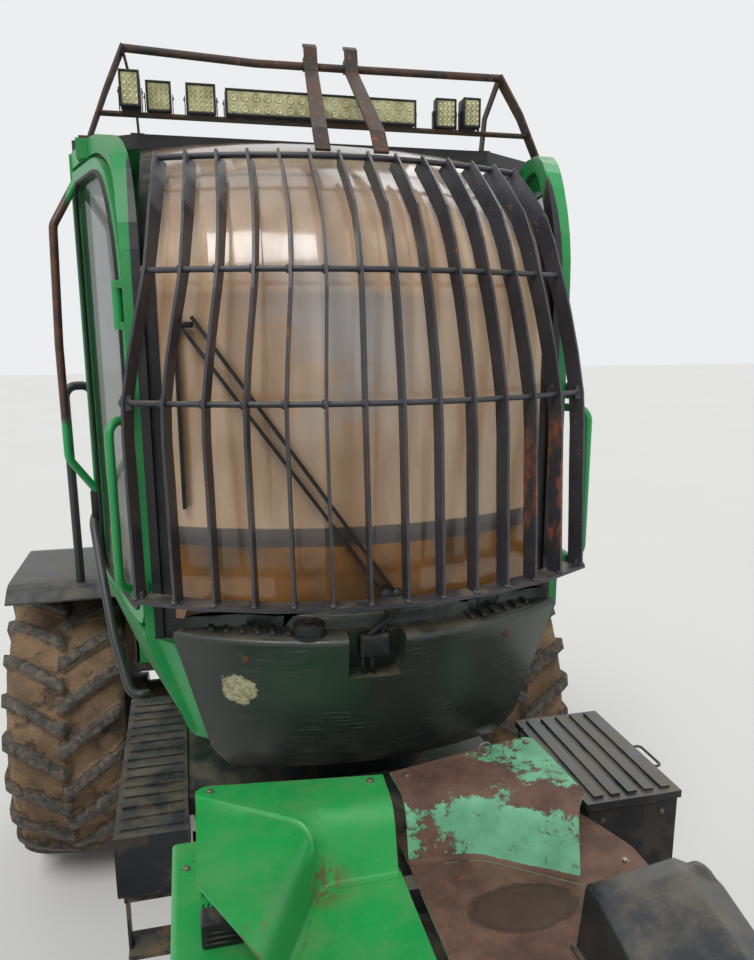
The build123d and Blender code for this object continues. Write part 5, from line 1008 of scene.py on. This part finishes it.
right_cover = folded_cover(Shell(), [(-0.023, 0.366), (-0.604, 0.438), (-0.607, 0.0)],
                           [(-0.032, 0.192), (-0.262, 0.206), (-0.470, -0.235)],
                           [(-0.034, 0.130), (-0.268, 0.128), (-0.424, -0.200)], 0.070, 0.055)
deck_plate(right_cover, -0.684, [-0.026, -0.400, -0.560], [0.300, 0.389, 0.425, 0.425],
           [-0.780, -0.860, -0.716, -0.600], 0.090)
cover_wall(right_cover, -0.604, 0.16, 0.425)
right_cover.piece("deck_cover_right_folded", "front_frame", "green_paint",
                  NODE_FINISHES["deck_cover_right"], sharp=50, replaces=("deck_cover_right",))
left_cover = folded_cover(Shell(), [(0.002, 0.372), (0.536, 0.485), (0.553, 0.120)],
                          [(0.010, 0.222), (0.212, 0.207), (0.497, 0.057)],
                          [(0.008, 0.168), (0.222, 0.150), (0.470, -0.026)], 0.060, 0.0)
deck_plate(left_cover, 0.704, [0.006, 0.300, 0.500, 0.560, 0.640],
           [0.300, 0.375, 0.425, 0.400, 0.236, 0.060],
           [-0.780, -0.900, -0.900, -0.900, -0.900, -0.900], 0.020)
cover_wall(left_cover, 0.536, 0.17, 0.400)
left_cover.piece("deck_cover_left_folded", "front_frame", "faded_mint", sharp=50,
                 replaces=("deck_cover_left",))
lift_ring = Shell()
turn = np.linspace(0, 2 * pi, 28, endpoint=False)
add_tube(lift_ring, in_row(np.stack([0.335 + 0.020 * np.cos(turn), np.full(28, 0.400),
                                     1.692 + 0.022 * np.sin(turn)], -1)),
         0.0035, 8, hint=(0, 1, 0), closed=True)
add_turned(lift_ring, [(-0.002, 0), (-0.002, 0.012), (0.006, 0.010), (0.008, 0.0)],
           in_row([(0.335, 0.400, 1.6705)]), (0, 0, 1), 16)
lift_ring.piece("cover_lifting_ring", "front_frame", "worn_steel")

# Small ribbed lamp under the raised flat's edge

fold_lamp = Shell()
add_case(fold_lamp, *in_row([(-0.604, -0.040, DECK_TOP), (-0.496, 0.030, 1.566)]), 0.008, 1)
for x in np.arange(-0.598, -0.504, 0.013):
    add_case(fold_lamp, *in_row([(x, 0.022, 1.498), (x + 0.005, 0.050, 1.560)]), 0.002, 1)
for z in (1.506, 1.522, 1.538):
    add_case(fold_lamp, *in_row([(-0.594, -0.045, z), (-0.506, -0.036, z + 0.004)]), 0.0015, 1)
fold_lamp.piece("fold_lamp_case", "front_frame", "rubber_black", LAMP_CASE, sharp=35)

# Hydraulic valve housing: one moulded hood with a ridge, drawn down over a foot flange

HOUSING_X, HOUSING_Y, RIDGE_X, RIDGE_Y, RIDGE_Z = (0.342, 0.700), (-0.860, -0.275), 0.585, -0.335, 1.728


def add_hood(shell, x_range, y_range, top, foot, soft=0.012):
    """Moulded hood over a rectangle: height = foot + (top(x, y) - foot) min(a_i, b_j).

    The factors a and b are 0 on the foot line and rise to 1 over the soft edge.
    """
    rise = np.array([0.0, 0.90, 0.965, 0.992, 1.0])
    draw = np.array([-0.010, 0.0, 0.002, soft * 0.45, soft])

    def stations(low, high, steps):
        """Places across one direction and the factor of the height at each."""
        inner = np.linspace(low + soft, high - soft, steps)[1:-1]
        return (np.concatenate([low + draw, inner, high - draw[::-1]]),
                np.concatenate([rise, np.ones(steps - 2), rise[::-1]]))

    xs, a = stations(*x_range, 34)
    ys, b = stations(*y_range, 48)
    x, y = np.meshgrid(xs, ys, indexing="ij")
    height = foot + (top(x, y) - foot) * np.minimum(a[:, None], b[None, :])
    grid = np.stack([x, y, height], -1)
    rows, columns = grid.shape[:2]
    loop = rim_loop(rows, columns)
    centre = np.array([[x.mean(), y.mean(), foot]])
    fan = np.stack([np.roll(loop, -1), loop, np.full(len(loop), rows * columns)], -1)
    return shell.add(in_row(np.concatenate([grid.reshape(-1, 3), centre])), quads(rows, columns), fan)


def housing_top(x, y):
    """Ridge band at the back, a slope towards the front, a crease from the ridge, a lug and two ribs."""
    height = RIDGE_Z - 0.28 * np.maximum(0, RIDGE_Y - y)
    height = height - 0.55 * np.maximum(0, x - RIDGE_X) - 0.14 * np.maximum(0, RIDGE_X - x)
    lug = np.clip(1 - ((x - 0.655) ** 2 + (y + 0.305) ** 2) / 0.030 ** 2, 0, 1)
    ribs = np.clip(1 - np.abs(np.abs(x - 0.455) - 0.045) / 0.008, 0, 1)
    ribs = ribs * (y < RIDGE_Y - 0.05) * (y > -0.80)
    return height + 0.022 * np.sqrt(lug) + 0.004 * ribs


housing = add_hood(Shell(), HOUSING_X, HOUSING_Y, housing_top, DECK_TOP + 0.004)
add_case(housing, *in_row([(HOUSING_X[0] - 0.022, HOUSING_Y[0], DECK_TOP + 0.0005),
                           (HOUSING_X[1], HOUSING_Y[1] + 0.022, DECK_TOP + 0.011)]), 0.004, 2)
housing.piece("valve_housing_moulded", "front_frame", "frame_black", HOUSING_BLACK, sharp=60,
              replaces=("valve_cover",))
housing_bolts = Shell()
HOUSING_BOLTS_Y = (-0.33, -0.50, -0.68, -0.83)
housing_places = [(HOUSING_X[0] - 0.011, y, DECK_TOP + 0.011) for y in HOUSING_BOLTS_Y]
add_bolts(housing_bolts, in_row(housing_places), (0, 0, 1), 0.006)
bolt_piece(housing_bolts, "valve_housing_bolts", "front_frame")

# Bolts on the deck and the slewing ring

deck_bolts = Shell()
LOW_BOLTS = [(-0.64, 0.30), (-0.64, -0.10), (-0.64, -0.50), (-0.08, -0.35), (-0.08, -0.70),
             (0.05, -0.40), (0.05, -0.72), (0.64, 0.02), (0.61, 0.26)]
HIGH_BOLTS = [(-0.56, 0.40), (-0.07, 0.34), (0.05, 0.34), (0.50, 0.44)]
for plan, height in ((LOW_BOLTS, DECK_TOP), (HIGH_BOLTS, COVER_TOP)):
    add_bolts(deck_bolts, in_row([(x, y, height) for x, y in plan]), (0, 0, 1), 0.010)
bolt_piece(deck_bolts, "deck_bolts", "front_frame")
RING_BOLTS, RING_R = 24, 0.256
angle = np.linspace(0, 2 * pi, RING_BOLTS, endpoint=False)
ring_bolts = Shell()
ring_places = np.stack([RING_R * np.cos(angle), -1.700 + RING_R * np.sin(angle),
                        np.full(RING_BOLTS, 1.610)], -1)
add_bolts(ring_bolts, in_row(ring_places), (0, 0, 1), 0.012)
bolt_piece(ring_bolts, "slew_ring_bolts", "crane_base")

# Washer tank: moulded shell with a ledge along its top, a recess for the wiper's drive,
# ribs and a knurled cap

TANK_Z = [1.575, 1.680, 2.120, 2.178]
TANK_FRONT_X = [0.480, 0.545, 0.648, 0.642]
TANK_FRONT_Y = [0.690, 0.650, 0.568, 0.570]
TANK_MID_Y = [0.600, 0.520, 0.362, 0.366]
TANK_BACK = [[0.460, 0.500, 0.600, 0.600], [0.716, 0.690, 0.640, 0.640], [0.260, 0.280, 0.330, 0.330],
             [0.652, 0.600, 0.508, 0.508]]
LEDGE_Z = 2.134
RECESS_LOW, RECESS_HIGH, RECESS_DEEP, RECESS_FOOT = -0.125, 0.055, 0.075, 1.985


def tank_rings():
    """Level outlines up the tank: a parabola at the front, a broken line behind, drawn in.

    Front(x) = mid + (side - mid) (x / half)^2 + inset, moved back within the recess.
    """
    levels = np.array([(1.575, 0.030), (1.580, 0.012), (1.592, 0.0), (1.680, 0.0), (1.800, 0.0),
                       (1.900, 0.0), (1.984, 0.0), (1.988, 0.0), (2.060, 0.0), (2.108, 0.0),
                       (2.120, 0.003), (2.129, 0.010), (LEDGE_Z, 0.022), (LEDGE_Z, 0.096),
                       (LEDGE_Z + 0.004, 0.100), (2.172, 0.103), (2.178, 0.112)])
    share = np.linspace(-1, 1, 45)
    cuts = np.array([RECESS_LOW, RECESS_LOW + 0.004, RECESS_HIGH - 0.004, RECESS_HIGH]) / TANK_FRONT_X[2]
    share = np.sort(np.concatenate([share, cuts]))
    rings = []
    for z, inset in levels:
        half, side_y, mid_y = (np.interp(z, TANK_Z, row)
                               for row in (TANK_FRONT_X, TANK_FRONT_Y, TANK_MID_Y))
        outer_x, outer_y, inner_x, inner_y = (np.interp(z, TANK_Z, row) for row in TANK_BACK)
        x = share * TANK_FRONT_X[2]
        within = np.clip((x - RECESS_LOW) / 0.004, 0, 1) * np.clip((RECESS_HIGH - x) / 0.004, 0, 1)
        pushed = max(0.0, RECESS_DEEP - inset) * within * np.clip((z - RECESS_FOOT) / 0.003, 0, 1)
        front = np.stack([share * (half - inset * 0.3),
                          mid_y + (side_y - mid_y) * share ** 2 + inset * (1 - share ** 8) + pushed], -1)
        rear = [(outer_x, outer_y), (inner_x, inner_y), (0.0, inner_y), (-inner_x, inner_y),
                (-outer_x, outer_y)]
        outline = np.concatenate([front, rear])
        outline[:, 1] = np.minimum(outline[:, 1],
                                   np.interp(np.abs(outline[:, 0]), [0, inner_x, outer_x],
                                             [inner_y, inner_y, outer_y]))
        rings.append(np.column_stack([outline, np.full(len(outline), z)]))
    return np.array(rings)


def ledge_front(x):
    """The tank's front line at the height of its ledge."""
    return np.interp(LEDGE_Z, TANK_Z, TANK_MID_Y) + 0.206 * (x / TANK_FRONT_X[2]) ** 2


tank = Shell().add(*lofted(in_row(tank_rings())))
for side in (-1, 1):
    for x in side * np.arange(0.300, 0.540, 0.046):
        add_case(tank, *np.sort(in_row([(x - 0.008, ledge_front(x) + 0.036, LEDGE_Z - 0.004),
                                        (x + 0.008, ledge_front(x) + 0.094, LEDGE_Z + 0.010)]), axis=0),
                 0.004, 1)
tank.piece("washer_tank_moulded", "cab", "tank_green", sharp=50, replaces=("washer_tank",))
CAP_AT = in_row([(-0.235, ledge_front(-0.235) + 0.062, LEDGE_Z)])
cap = Shell()
add_turned(cap, [(0.0, 0), (0.0, 0.050), (0.028, 0.050), (0.034, 0.047), (0.038, 0.041),
                 (0.038, 0.024), (0.0355, 0.021), (0.0355, 0)], CAP_AT, (0, 0, 1), 144, lobes=0.018)
add_turned(cap, [(0.033, 0), (0.033, 0.017), (0.040, 0.016), (0.042, 0.011), (0.042, 0)], CAP_AT,
           (0, 0, 1), 24)
add_turned(cap, [(-0.004, 0), (-0.004, 0.059), (0.004, 0.058), (0.006, 0.0)], CAP_AT, (0, 0, 1), 48)
cap.piece("tank_cap_knurled", "cab", "rubber_black", sharp=40)
tank_bolts = Shell()
add_bolts(tank_bolts, in_row([(0.430, 0.4745, 2.060), (-0.430, 0.4745, 2.060),
                              (0.380, 0.602, 1.720), (-0.380, 0.602, 1.720)]), (0, -1, 0), 0.011)
bolt_piece(tank_bolts, "tank_bolts", "cab", RUSTED_BOLT)
drive = Shell()
add_case(drive, *in_row([(-0.085, 0.402, 2.050), (0.015, 0.450, 2.128)]), 0.012, 1)
for top, low in (((0.026, 0.474, 2.205), (-0.010, 0.428, 2.120)),
                 ((0.062, 0.474, 2.205), (-0.055, 0.424, 2.120))):
    middle = (np.array(top) + low) / 2 + np.array([0, -0.030, 0.004])
    add_tube(drive, eased_path(in_row([top, middle, low]), 0.04), 0.011, 12)
for x in (-0.070, -0.040):
    add_tube(drive, eased_path(in_row([(x, 0.428, 2.060), (x - 0.004, 0.424, 2.020),
                                       (x + 0.010, 0.440, 1.992)]), 0.03), 0.007, 10)
drive.piece("wiper_drive", "cab", "rubber_black", LAMP_CASE, sharp=45)

# Cab: black entry tube, door handle, window seals, wiper's fittings

entry = Shell()
add_tube(entry, eased_path(in_row([(-0.9275, 1.60, 2.337), (-0.9655, 1.52, 2.300),
                                   (-0.9300, 1.36, 2.112), (-0.8900, 1.22, 1.900),
                                   (-0.8300, 1.10, 1.690), (-0.7600, 1.10, 1.690)]), 0.05), 0.018)
entry.piece("entry_tube", "cab", "frame_black")

WALL_FRONT, WALL_SIDE = np.array([0.735, 0.770]), np.array([0.957, 1.600])
wall_along = unit(WALL_SIDE - WALL_FRONT)
wall_out = np.array([wall_along[1], -wall_along[0]])


def on_wall(points, side, out=0.0):
    """Points (run along the cab's side wall, height) set in space, moved out from the wall."""
    points = np.asarray(points, float)
    plan = WALL_FRONT + points[:, :1] * wall_along + wall_out * out
    return in_row(np.stack([side * plan[:, 0], plan[:, 1], points[:, 1]], -1))


window = eased_path([(0.40, 2.104), (0.758, 2.104), (0.758, 3.592), (0.300, 3.571), (0.178, 3.497),
                     (0.079, 3.297), (0.079, 2.104), (0.40, 2.104)], 0.09)[:-1]
for side, body, name in ((-1, "door", "door_seal"), (1, "cab", "side_glass_seal")):
    seal = Shell()
    add_tube(seal, on_wall(window, side, 0.001), 0.008, 8, closed=True)
    seal.piece(name, body, "rubber_black")
handle = Shell()
add_case(handle, *np.sort(in_row([(-0.936, 1.500, 2.30), (-0.966, 1.560, 2.42)]), axis=0), 0.008, 2)
handle.piece("door_handle", "door", "rubber_black")

wiper_fittings = Shell()
add_turned(wiper_fittings, [(0.0, 0), (0.0, 0.024), (0.014, 0.024), (0.022, 0.016), (0.024, 0.0)],
           in_row([(0.026, 0.512, 2.214), (0.062, 0.513, 2.214)]), (0, -1, 0), 20)
spring_turn = np.linspace(0, 2 * pi * 16, 16 * 12)
spring_run = np.linspace(0, 1, len(spring_turn))[:, None]
spring_low, spring_high = in_row([(-0.010, 0.506, 2.262), (-0.098, 0.512, 2.380)])
first, second = frame_of(spring_high - spring_low)[:2]
coil = spring_low + (spring_high - spring_low) * spring_run
coil = coil + 0.008 * (np.cos(spring_turn)[:, None] * first + np.sin(spring_turn)[:, None] * second)
add_tube(wiper_fittings, coil, 0.0016, 6)
wiper_fittings.piece("wiper_fittings", "cab", "rubber_black", LAMP_CASE, sharp=40)

# Operator's station: armrest pads, control sticks and two pedals

station = Shell()
for side in (-1, 1):
    base = np.array([side * 0.340, 1.430, 2.440])
    add_turned(station, [(0.0, 0), (0.0, 0.040), (0.012, 0.038), (0.040, 0.016), (0.042, 0)],
               in_row([base]), (0, 0, 1), 24)
    add_tube(station, in_row(base + np.array([(0, 0, 0.03), (0, -0.004, 0.07), (0, -0.016, 0.11)])),
             0.010)
    grip = [(0.0, 0), (0.0, 0.014), (0.03, 0.019), (0.07, 0.021), (0.10, 0.024), (0.118, 0.020),
            (0.124, 0.0)]
    add_turned(station, grip, in_row([base + np.array([0, -0.012, 0.10])]), (0, -0.18, 1), 20)
    add_case(station, *in_row([(side * 0.340 - 0.045, 1.520, 2.440),
                               (side * 0.340 + 0.045, 1.760, 2.478)]), 0.016, 1)
    add_case(station, *in_row([(side * 0.11 - 0.045, 0.98, 1.765), (side * 0.11 + 0.045, 1.14, 1.785)]),
             0.006, 1)
station.piece("seat_controls", "cab", "cab_trim", sharp=45)

# Hood, bumper and side box fittings

hood_trim = Shell()
for side in (-1, 1):
    for y in (2.78, 3.98):
        add_case(hood_trim, *np.sort(in_row([(side * 0.888, y, 1.36), (side * 0.906, y + 0.045, 1.47)]),
                                     axis=0), 0.006, 2)
    add_bolts(hood_trim, in_row([(side * 0.891, y, 1.30) for y in np.arange(2.62, 4.30, 0.27)]),
              (side, 0, 0), 0.009)
hood_trim.piece("hood_latches", "hood", "worn_steel", BOLT_STEEL, sharp=35)
exhaust = Shell()
add_turned(exhaust, [(-0.02, 0), (-0.02, 0.075), (0.006, 0.075), (0.008, 0.050), (0.12, 0.050),
                     (0.12, 0.044), (0.02, 0.042), (0.02, 0)],
           in_row([(-0.55, 3.30, 2.330)]), (0, 0, 1), 32)
exhaust.piece("exhaust_stub", "hood", "worn_steel", BLACKENED_STEEL, sharp=35)
tail_lamps, tail_rims = Shell(), Shell()
tail_places = in_row([(-0.66, 4.480, 1.150), (0.66, 4.480, 1.150)])
add_turned(tail_rims, [(-0.004, 0), (-0.004, 0.062), (0.014, 0.060), (0.016, 0.053), (0.008, 0.050),
                       (0.008, 0)], tail_places, (0, 1, 0), 32)
add_turned(tail_lamps, [(0.004, 0), (0.004, 0.050), (0.010, 0.049), (0.016, 0.034), (0.018, 0.0)],
           tail_places, (0, 1, 0), 32)
tail_rims.piece("tail_lamp_rims", "rear_frame", "rubber_black", LAMP_CASE, sharp=40)
tail_lamps.piece("tail_lamps", "rear_frame", "lamp_glass", RED_LENS)
box_trim = Shell()
for y in (0.36, 0.68):
    add_case(box_trim, *in_row([(0.974, y, 1.40), (0.990, y + 0.05, 1.475)]), 0.005, 2)
add_bolts(box_trim, in_row([(0.700, 0.256, 1.22), (0.92, 0.256, 1.22), (0.700, 0.256, 1.46),
                            (0.92, 0.256, 1.46)]), (0, -1, 0), 0.008)
box_trim.piece("side_box_latches", "front_frame", "worn_steel", BOLT_STEEL, sharp=35)

# Crane: rigid pipes clamped to the boom and the jib, and bolts at the pin between the two

BOOM_PIVOT, BOOM_RUN, BOOM_CLIMB = np.array([-1.750, 2.250]), 2.900, radians(36)
JIB_CLIMB = radians(-82)


def along_beam(origin, climb, points):
    """Points (x, run, rise) of a beam that climbs forwards by the angle, set in space."""
    x, run, rise = np.asarray(points, float).T
    y = origin[0] - run * cos(climb) + rise * sin(climb)
    z = origin[1] + run * sin(climb) + rise * cos(climb)
    return in_row(np.stack([x, y, z], -1))


BOOM_END = BOOM_PIVOT + BOOM_RUN * np.array([-cos(BOOM_CLIMB), sin(BOOM_CLIMB)])


def pipe_run(name, body, origin, climb, face_x, rises, start, end, clamps):
    """Steel pipes side by side on a beam's flank, turned into it at both ends, under clamps."""
    pipes, straps, bolts = Shell(), Shell(), Shell()
    for rise in rises:
        line = [(face_x - 0.03, start, rise), (face_x + 0.013, start + 0.01, rise),
                (face_x + 0.013, end - 0.01, rise), (face_x - 0.03, end, rise)]
        add_tube(pipes, eased_path(along_beam(origin, climb, line), 0.03), 0.009, 10)
    low, high = min(rises) - 0.026, max(rises) + 0.026
    for run in np.linspace(start + 0.12, end - 0.12, clamps):
        edge = [(face_x + 0.013, run, low), (face_x + 0.013, run, high)]
        add_flat(straps, along_beam(origin, climb, edge), (-1, 0, 0), 0.036, 0.030)
        add_bolts(bolts, along_beam(origin, climb, [(face_x + 0.012, run, (low + high) / 2)]), (1, 0, 0),
                  0.007)
    pipes.piece(f"{name}_pipes", body, "worn_steel", PIPE_STEEL)
    straps.piece(f"{name}_clamps", body, "rubber_black", sharp=40)
    bolt_piece(bolts, f"{name}_clamp_bolts", body)


pipe_run("boom", "boom", BOOM_PIVOT, BOOM_CLIMB, 0.100, (0.044, 0.070, 0.096), 0.42, 2.42, 5)
pipe_run("jib", "jib", BOOM_END, JIB_CLIMB, 0.090, (-0.026, 0.0, 0.026), 0.42, 2.20, 5)
pin_caps = Shell()
for side in (-1, 1):
    spots = [(side * 0.118, 0.050 * cos(a), 0.050 * sin(a)) for a in (0.5, 2.6, 4.7)]
    add_bolts(pin_caps, along_beam(BOOM_END, 0.0, spots), (side, 0, 0), 0.010)
bolt_piece(pin_caps, "boom_pin_bolts", "boom")

# Seat cushions: crowned pads swelled by cloth pressure, with sewn channels and piping

SEAT_LOW, SEAT_HIGH = in_row([(-0.235, 1.360, 2.1905), (0.235, 1.790, 2.310)])
BACK_LOW, BACK_HIGH = in_row([(-0.225, 1.690, 2.316), (0.225, 1.7995, 2.980)])
PAD_CROWN, CLOTH_STEPS = 0.026, 20


def cushion(name, low, high, flat_axis, flat_side, channels):
    """Pad from a rounded block: x = a |cos u|^p |cos v|^p and so on, signs kept, then cloth pressure.

    The swelling is capped at the crown, held in the CAD solid's space, and flat where it rests.
    """
    low, high = np.asarray(low), np.asarray(high)
    middle, half = (low + high) / 2, (high - low) / 2
    start = half - np.minimum(PAD_CROWN * 0.55, half * 0.35)
    u = np.linspace(-pi / 2, pi / 2, 33)[:, None]
    v = np.linspace(-pi, pi, 64, endpoint=False)[None, :]

    def bent(value):
        """The value to the power 0.42, its sign kept."""
        return np.sign(value) * np.abs(value) ** 0.42

    grid = np.stack(np.broadcast_arrays(bent(np.cos(u)) * bent(np.cos(v)),
                                        bent(np.cos(u)) * bent(np.sin(v)),
                                        bent(np.sin(u)) * np.ones_like(v)), -1) * start
    shell = Shell().add(grid + middle, quads(33, 64, wrap_columns=True))
    made = shell.piece(name, "cab", "seat_fabric", replaces=("seat_cushions",))
    evened = made.modifiers.new("even", "REMESH")
    evened.mode = "VOXEL"
    evened.voxel_size = 0.008
    made.data = bpy.data.meshes.new_from_object(made.evaluated_get(bpy.context.evaluated_depsgraph_get()))
    made.modifiers.clear()
    count = len(made.data.vertices)
    before = np.empty(count * 3)
    made.data.vertices.foreach_get("co", before)
    before = before.reshape(-1, 3)
    after = before.copy()
    cloth = made.modifiers.new("swell", "CLOTH")
    cloth.settings.use_pressure = True
    cloth.settings.uniform_pressure_force = 4.0
    cloth.settings.effector_weights.gravity = 0.0
    for step in range(1, CLOTH_STEPS + 1):
        bpy.context.scene.frame_set(step)
    swelled = made.evaluated_get(bpy.context.evaluated_depsgraph_get())
    after = np.empty(count * 3)
    swelled.data.vertices.foreach_get("co", after)
    after = after.reshape(-1, 3)
    made.modifiers.clear()
    bpy.context.scene.frame_set(1)
    moved = after - before
    reach = np.linalg.norm(moved, axis=1, keepdims=True)
    after = before + moved * np.minimum(1.0, PAD_CROWN / np.maximum(reach, 1e-9))
    place = (after - middle) / half
    pull = sum(np.exp(-((after[:, 0] - x) / 0.007) ** 2) for x in channels) * 0.009
    after[:, flat_axis] += pull * np.clip(-place[:, flat_axis] * flat_side, 0, 1) * flat_side
    after = np.clip(after, low + 0.0002, high - 0.0002)
    made.data.vertices.foreach_set("co", after.ravel())
    made.data.polygons.foreach_set("use_smooth", np.full(len(made.data.polygons), True))
    made.data.materials.clear()
    made.data.materials.append(FINISHES["seat_fabric"])
    made.data.update()
    finer = made.modifiers.new("finer", "SUBSURF")
    finer.levels = 1
    finer.render_levels = 1
    return after, middle


def piping(name, surface, middle, level_axis):
    """Sewn edge: a round welt along the pad's widest line.

    The line is read off the swelled pad, by direction from its middle.
    """
    near_level = np.abs(surface[:, level_axis] - middle[level_axis]) < 0.012
    ring = surface[near_level] - middle
    a, b = [k for k in range(3) if k != level_axis]
    turn = np.arctan2(ring[:, b], ring[:, a])
    reach = np.hypot(ring[:, a], ring[:, b])
    order = np.argsort(turn)
    at = np.linspace(-pi, pi, 120, endpoint=False)
    run = np.interp(at, turn[order], reach[order], period=2 * pi) - 0.001
    line = np.zeros((120, 3))
    line[:, a] = run * np.cos(at)
    line[:, b] = run * np.sin(at)
    hint = np.eye(3)[level_axis]
    welt = add_tube(Shell(), line + middle, 0.004, 8, hint=hint, closed=True)
    welt.piece(name, "cab", "seat_fabric")


seat_surface, seat_middle = cushion("seat_cushion", SEAT_LOW, SEAT_HIGH, 2, -1, (-0.085, 0.085))
piping("seat_piping", seat_surface, seat_middle, 2)
back_surface, back_middle = cushion("back_cushion", BACK_LOW, BACK_HIGH, 1, 1, (-0.080, 0.080))
piping("back_piping", back_surface, back_middle, 1)


# Floor and light

FLOOR_HALF, SKY_ON_OBJECT = 60, 0.62

floor_mesh = bpy.data.meshes.new("studio_floor")
floor_mesh.from_pydata([(x * FLOOR_HALF, y * FLOOR_HALF, 0)
                        for x, y in ((-1, -1), (1, -1), (1, 1), (-1, 1))], [], [(0, 1, 2, 3)])
floor = bpy.data.objects.new("studio_floor", floor_mesh)
bpy.context.collection.objects.link(floor)
floor_finish = Finish("floor_pale", 0.1, {"Roughness": 0.9})
floor_mesh.materials.append(floor_finish.give(colour=floor_finish.mix(
    floor_finish.cloud(3.0, 2.0), hue(222, 221, 217), hue(228, 227, 224))))

sky = bpy.data.worlds.new("studio_sky")
bpy.context.scene.world = sky
sky.use_nodes = True
background = sky.node_tree.nodes["Background"]
background.inputs["Color"].default_value = hue(236, 238, 240)
sky_nodes = Nodes(sky.node_tree)
seen = sky_nodes.node("ShaderNodeLightPath", out="Is Camera Ray")
for ray in ("Is Glossy Ray", "Is Transmission Ray"):
    seen = seen.math("MAXIMUM", seen, sky_nodes.node("ShaderNodeLightPath", out=ray))
strength = sky_nodes.node("ShaderNodeMapRange", PLAIN,
                          {"Value": seen, "To Min": SKY_ON_OBJECT, "To Max": 1.0})
sky.node_tree.links.new(strength.socket, background.inputs["Strength"])


def lamp(name, strength_value, direction, spread_angle):
    """A broad sun lamp that shines along the direction."""
    data = bpy.data.lights.new(name, "SUN")
    data.energy = strength_value
    data.angle = radians(spread_angle)
    made = bpy.data.objects.new(name, data)
    bpy.context.collection.objects.link(made)
    made.rotation_mode = "QUATERNION"
    made.rotation_quaternion = Vector(direction).to_track_quat("-Z", "Y")


lamp("key_light", 1.5, (0.45, 0.75, -1.25), 28)
lamp("rim_light", 0.5, (-0.7, -0.9, -0.9), 40)
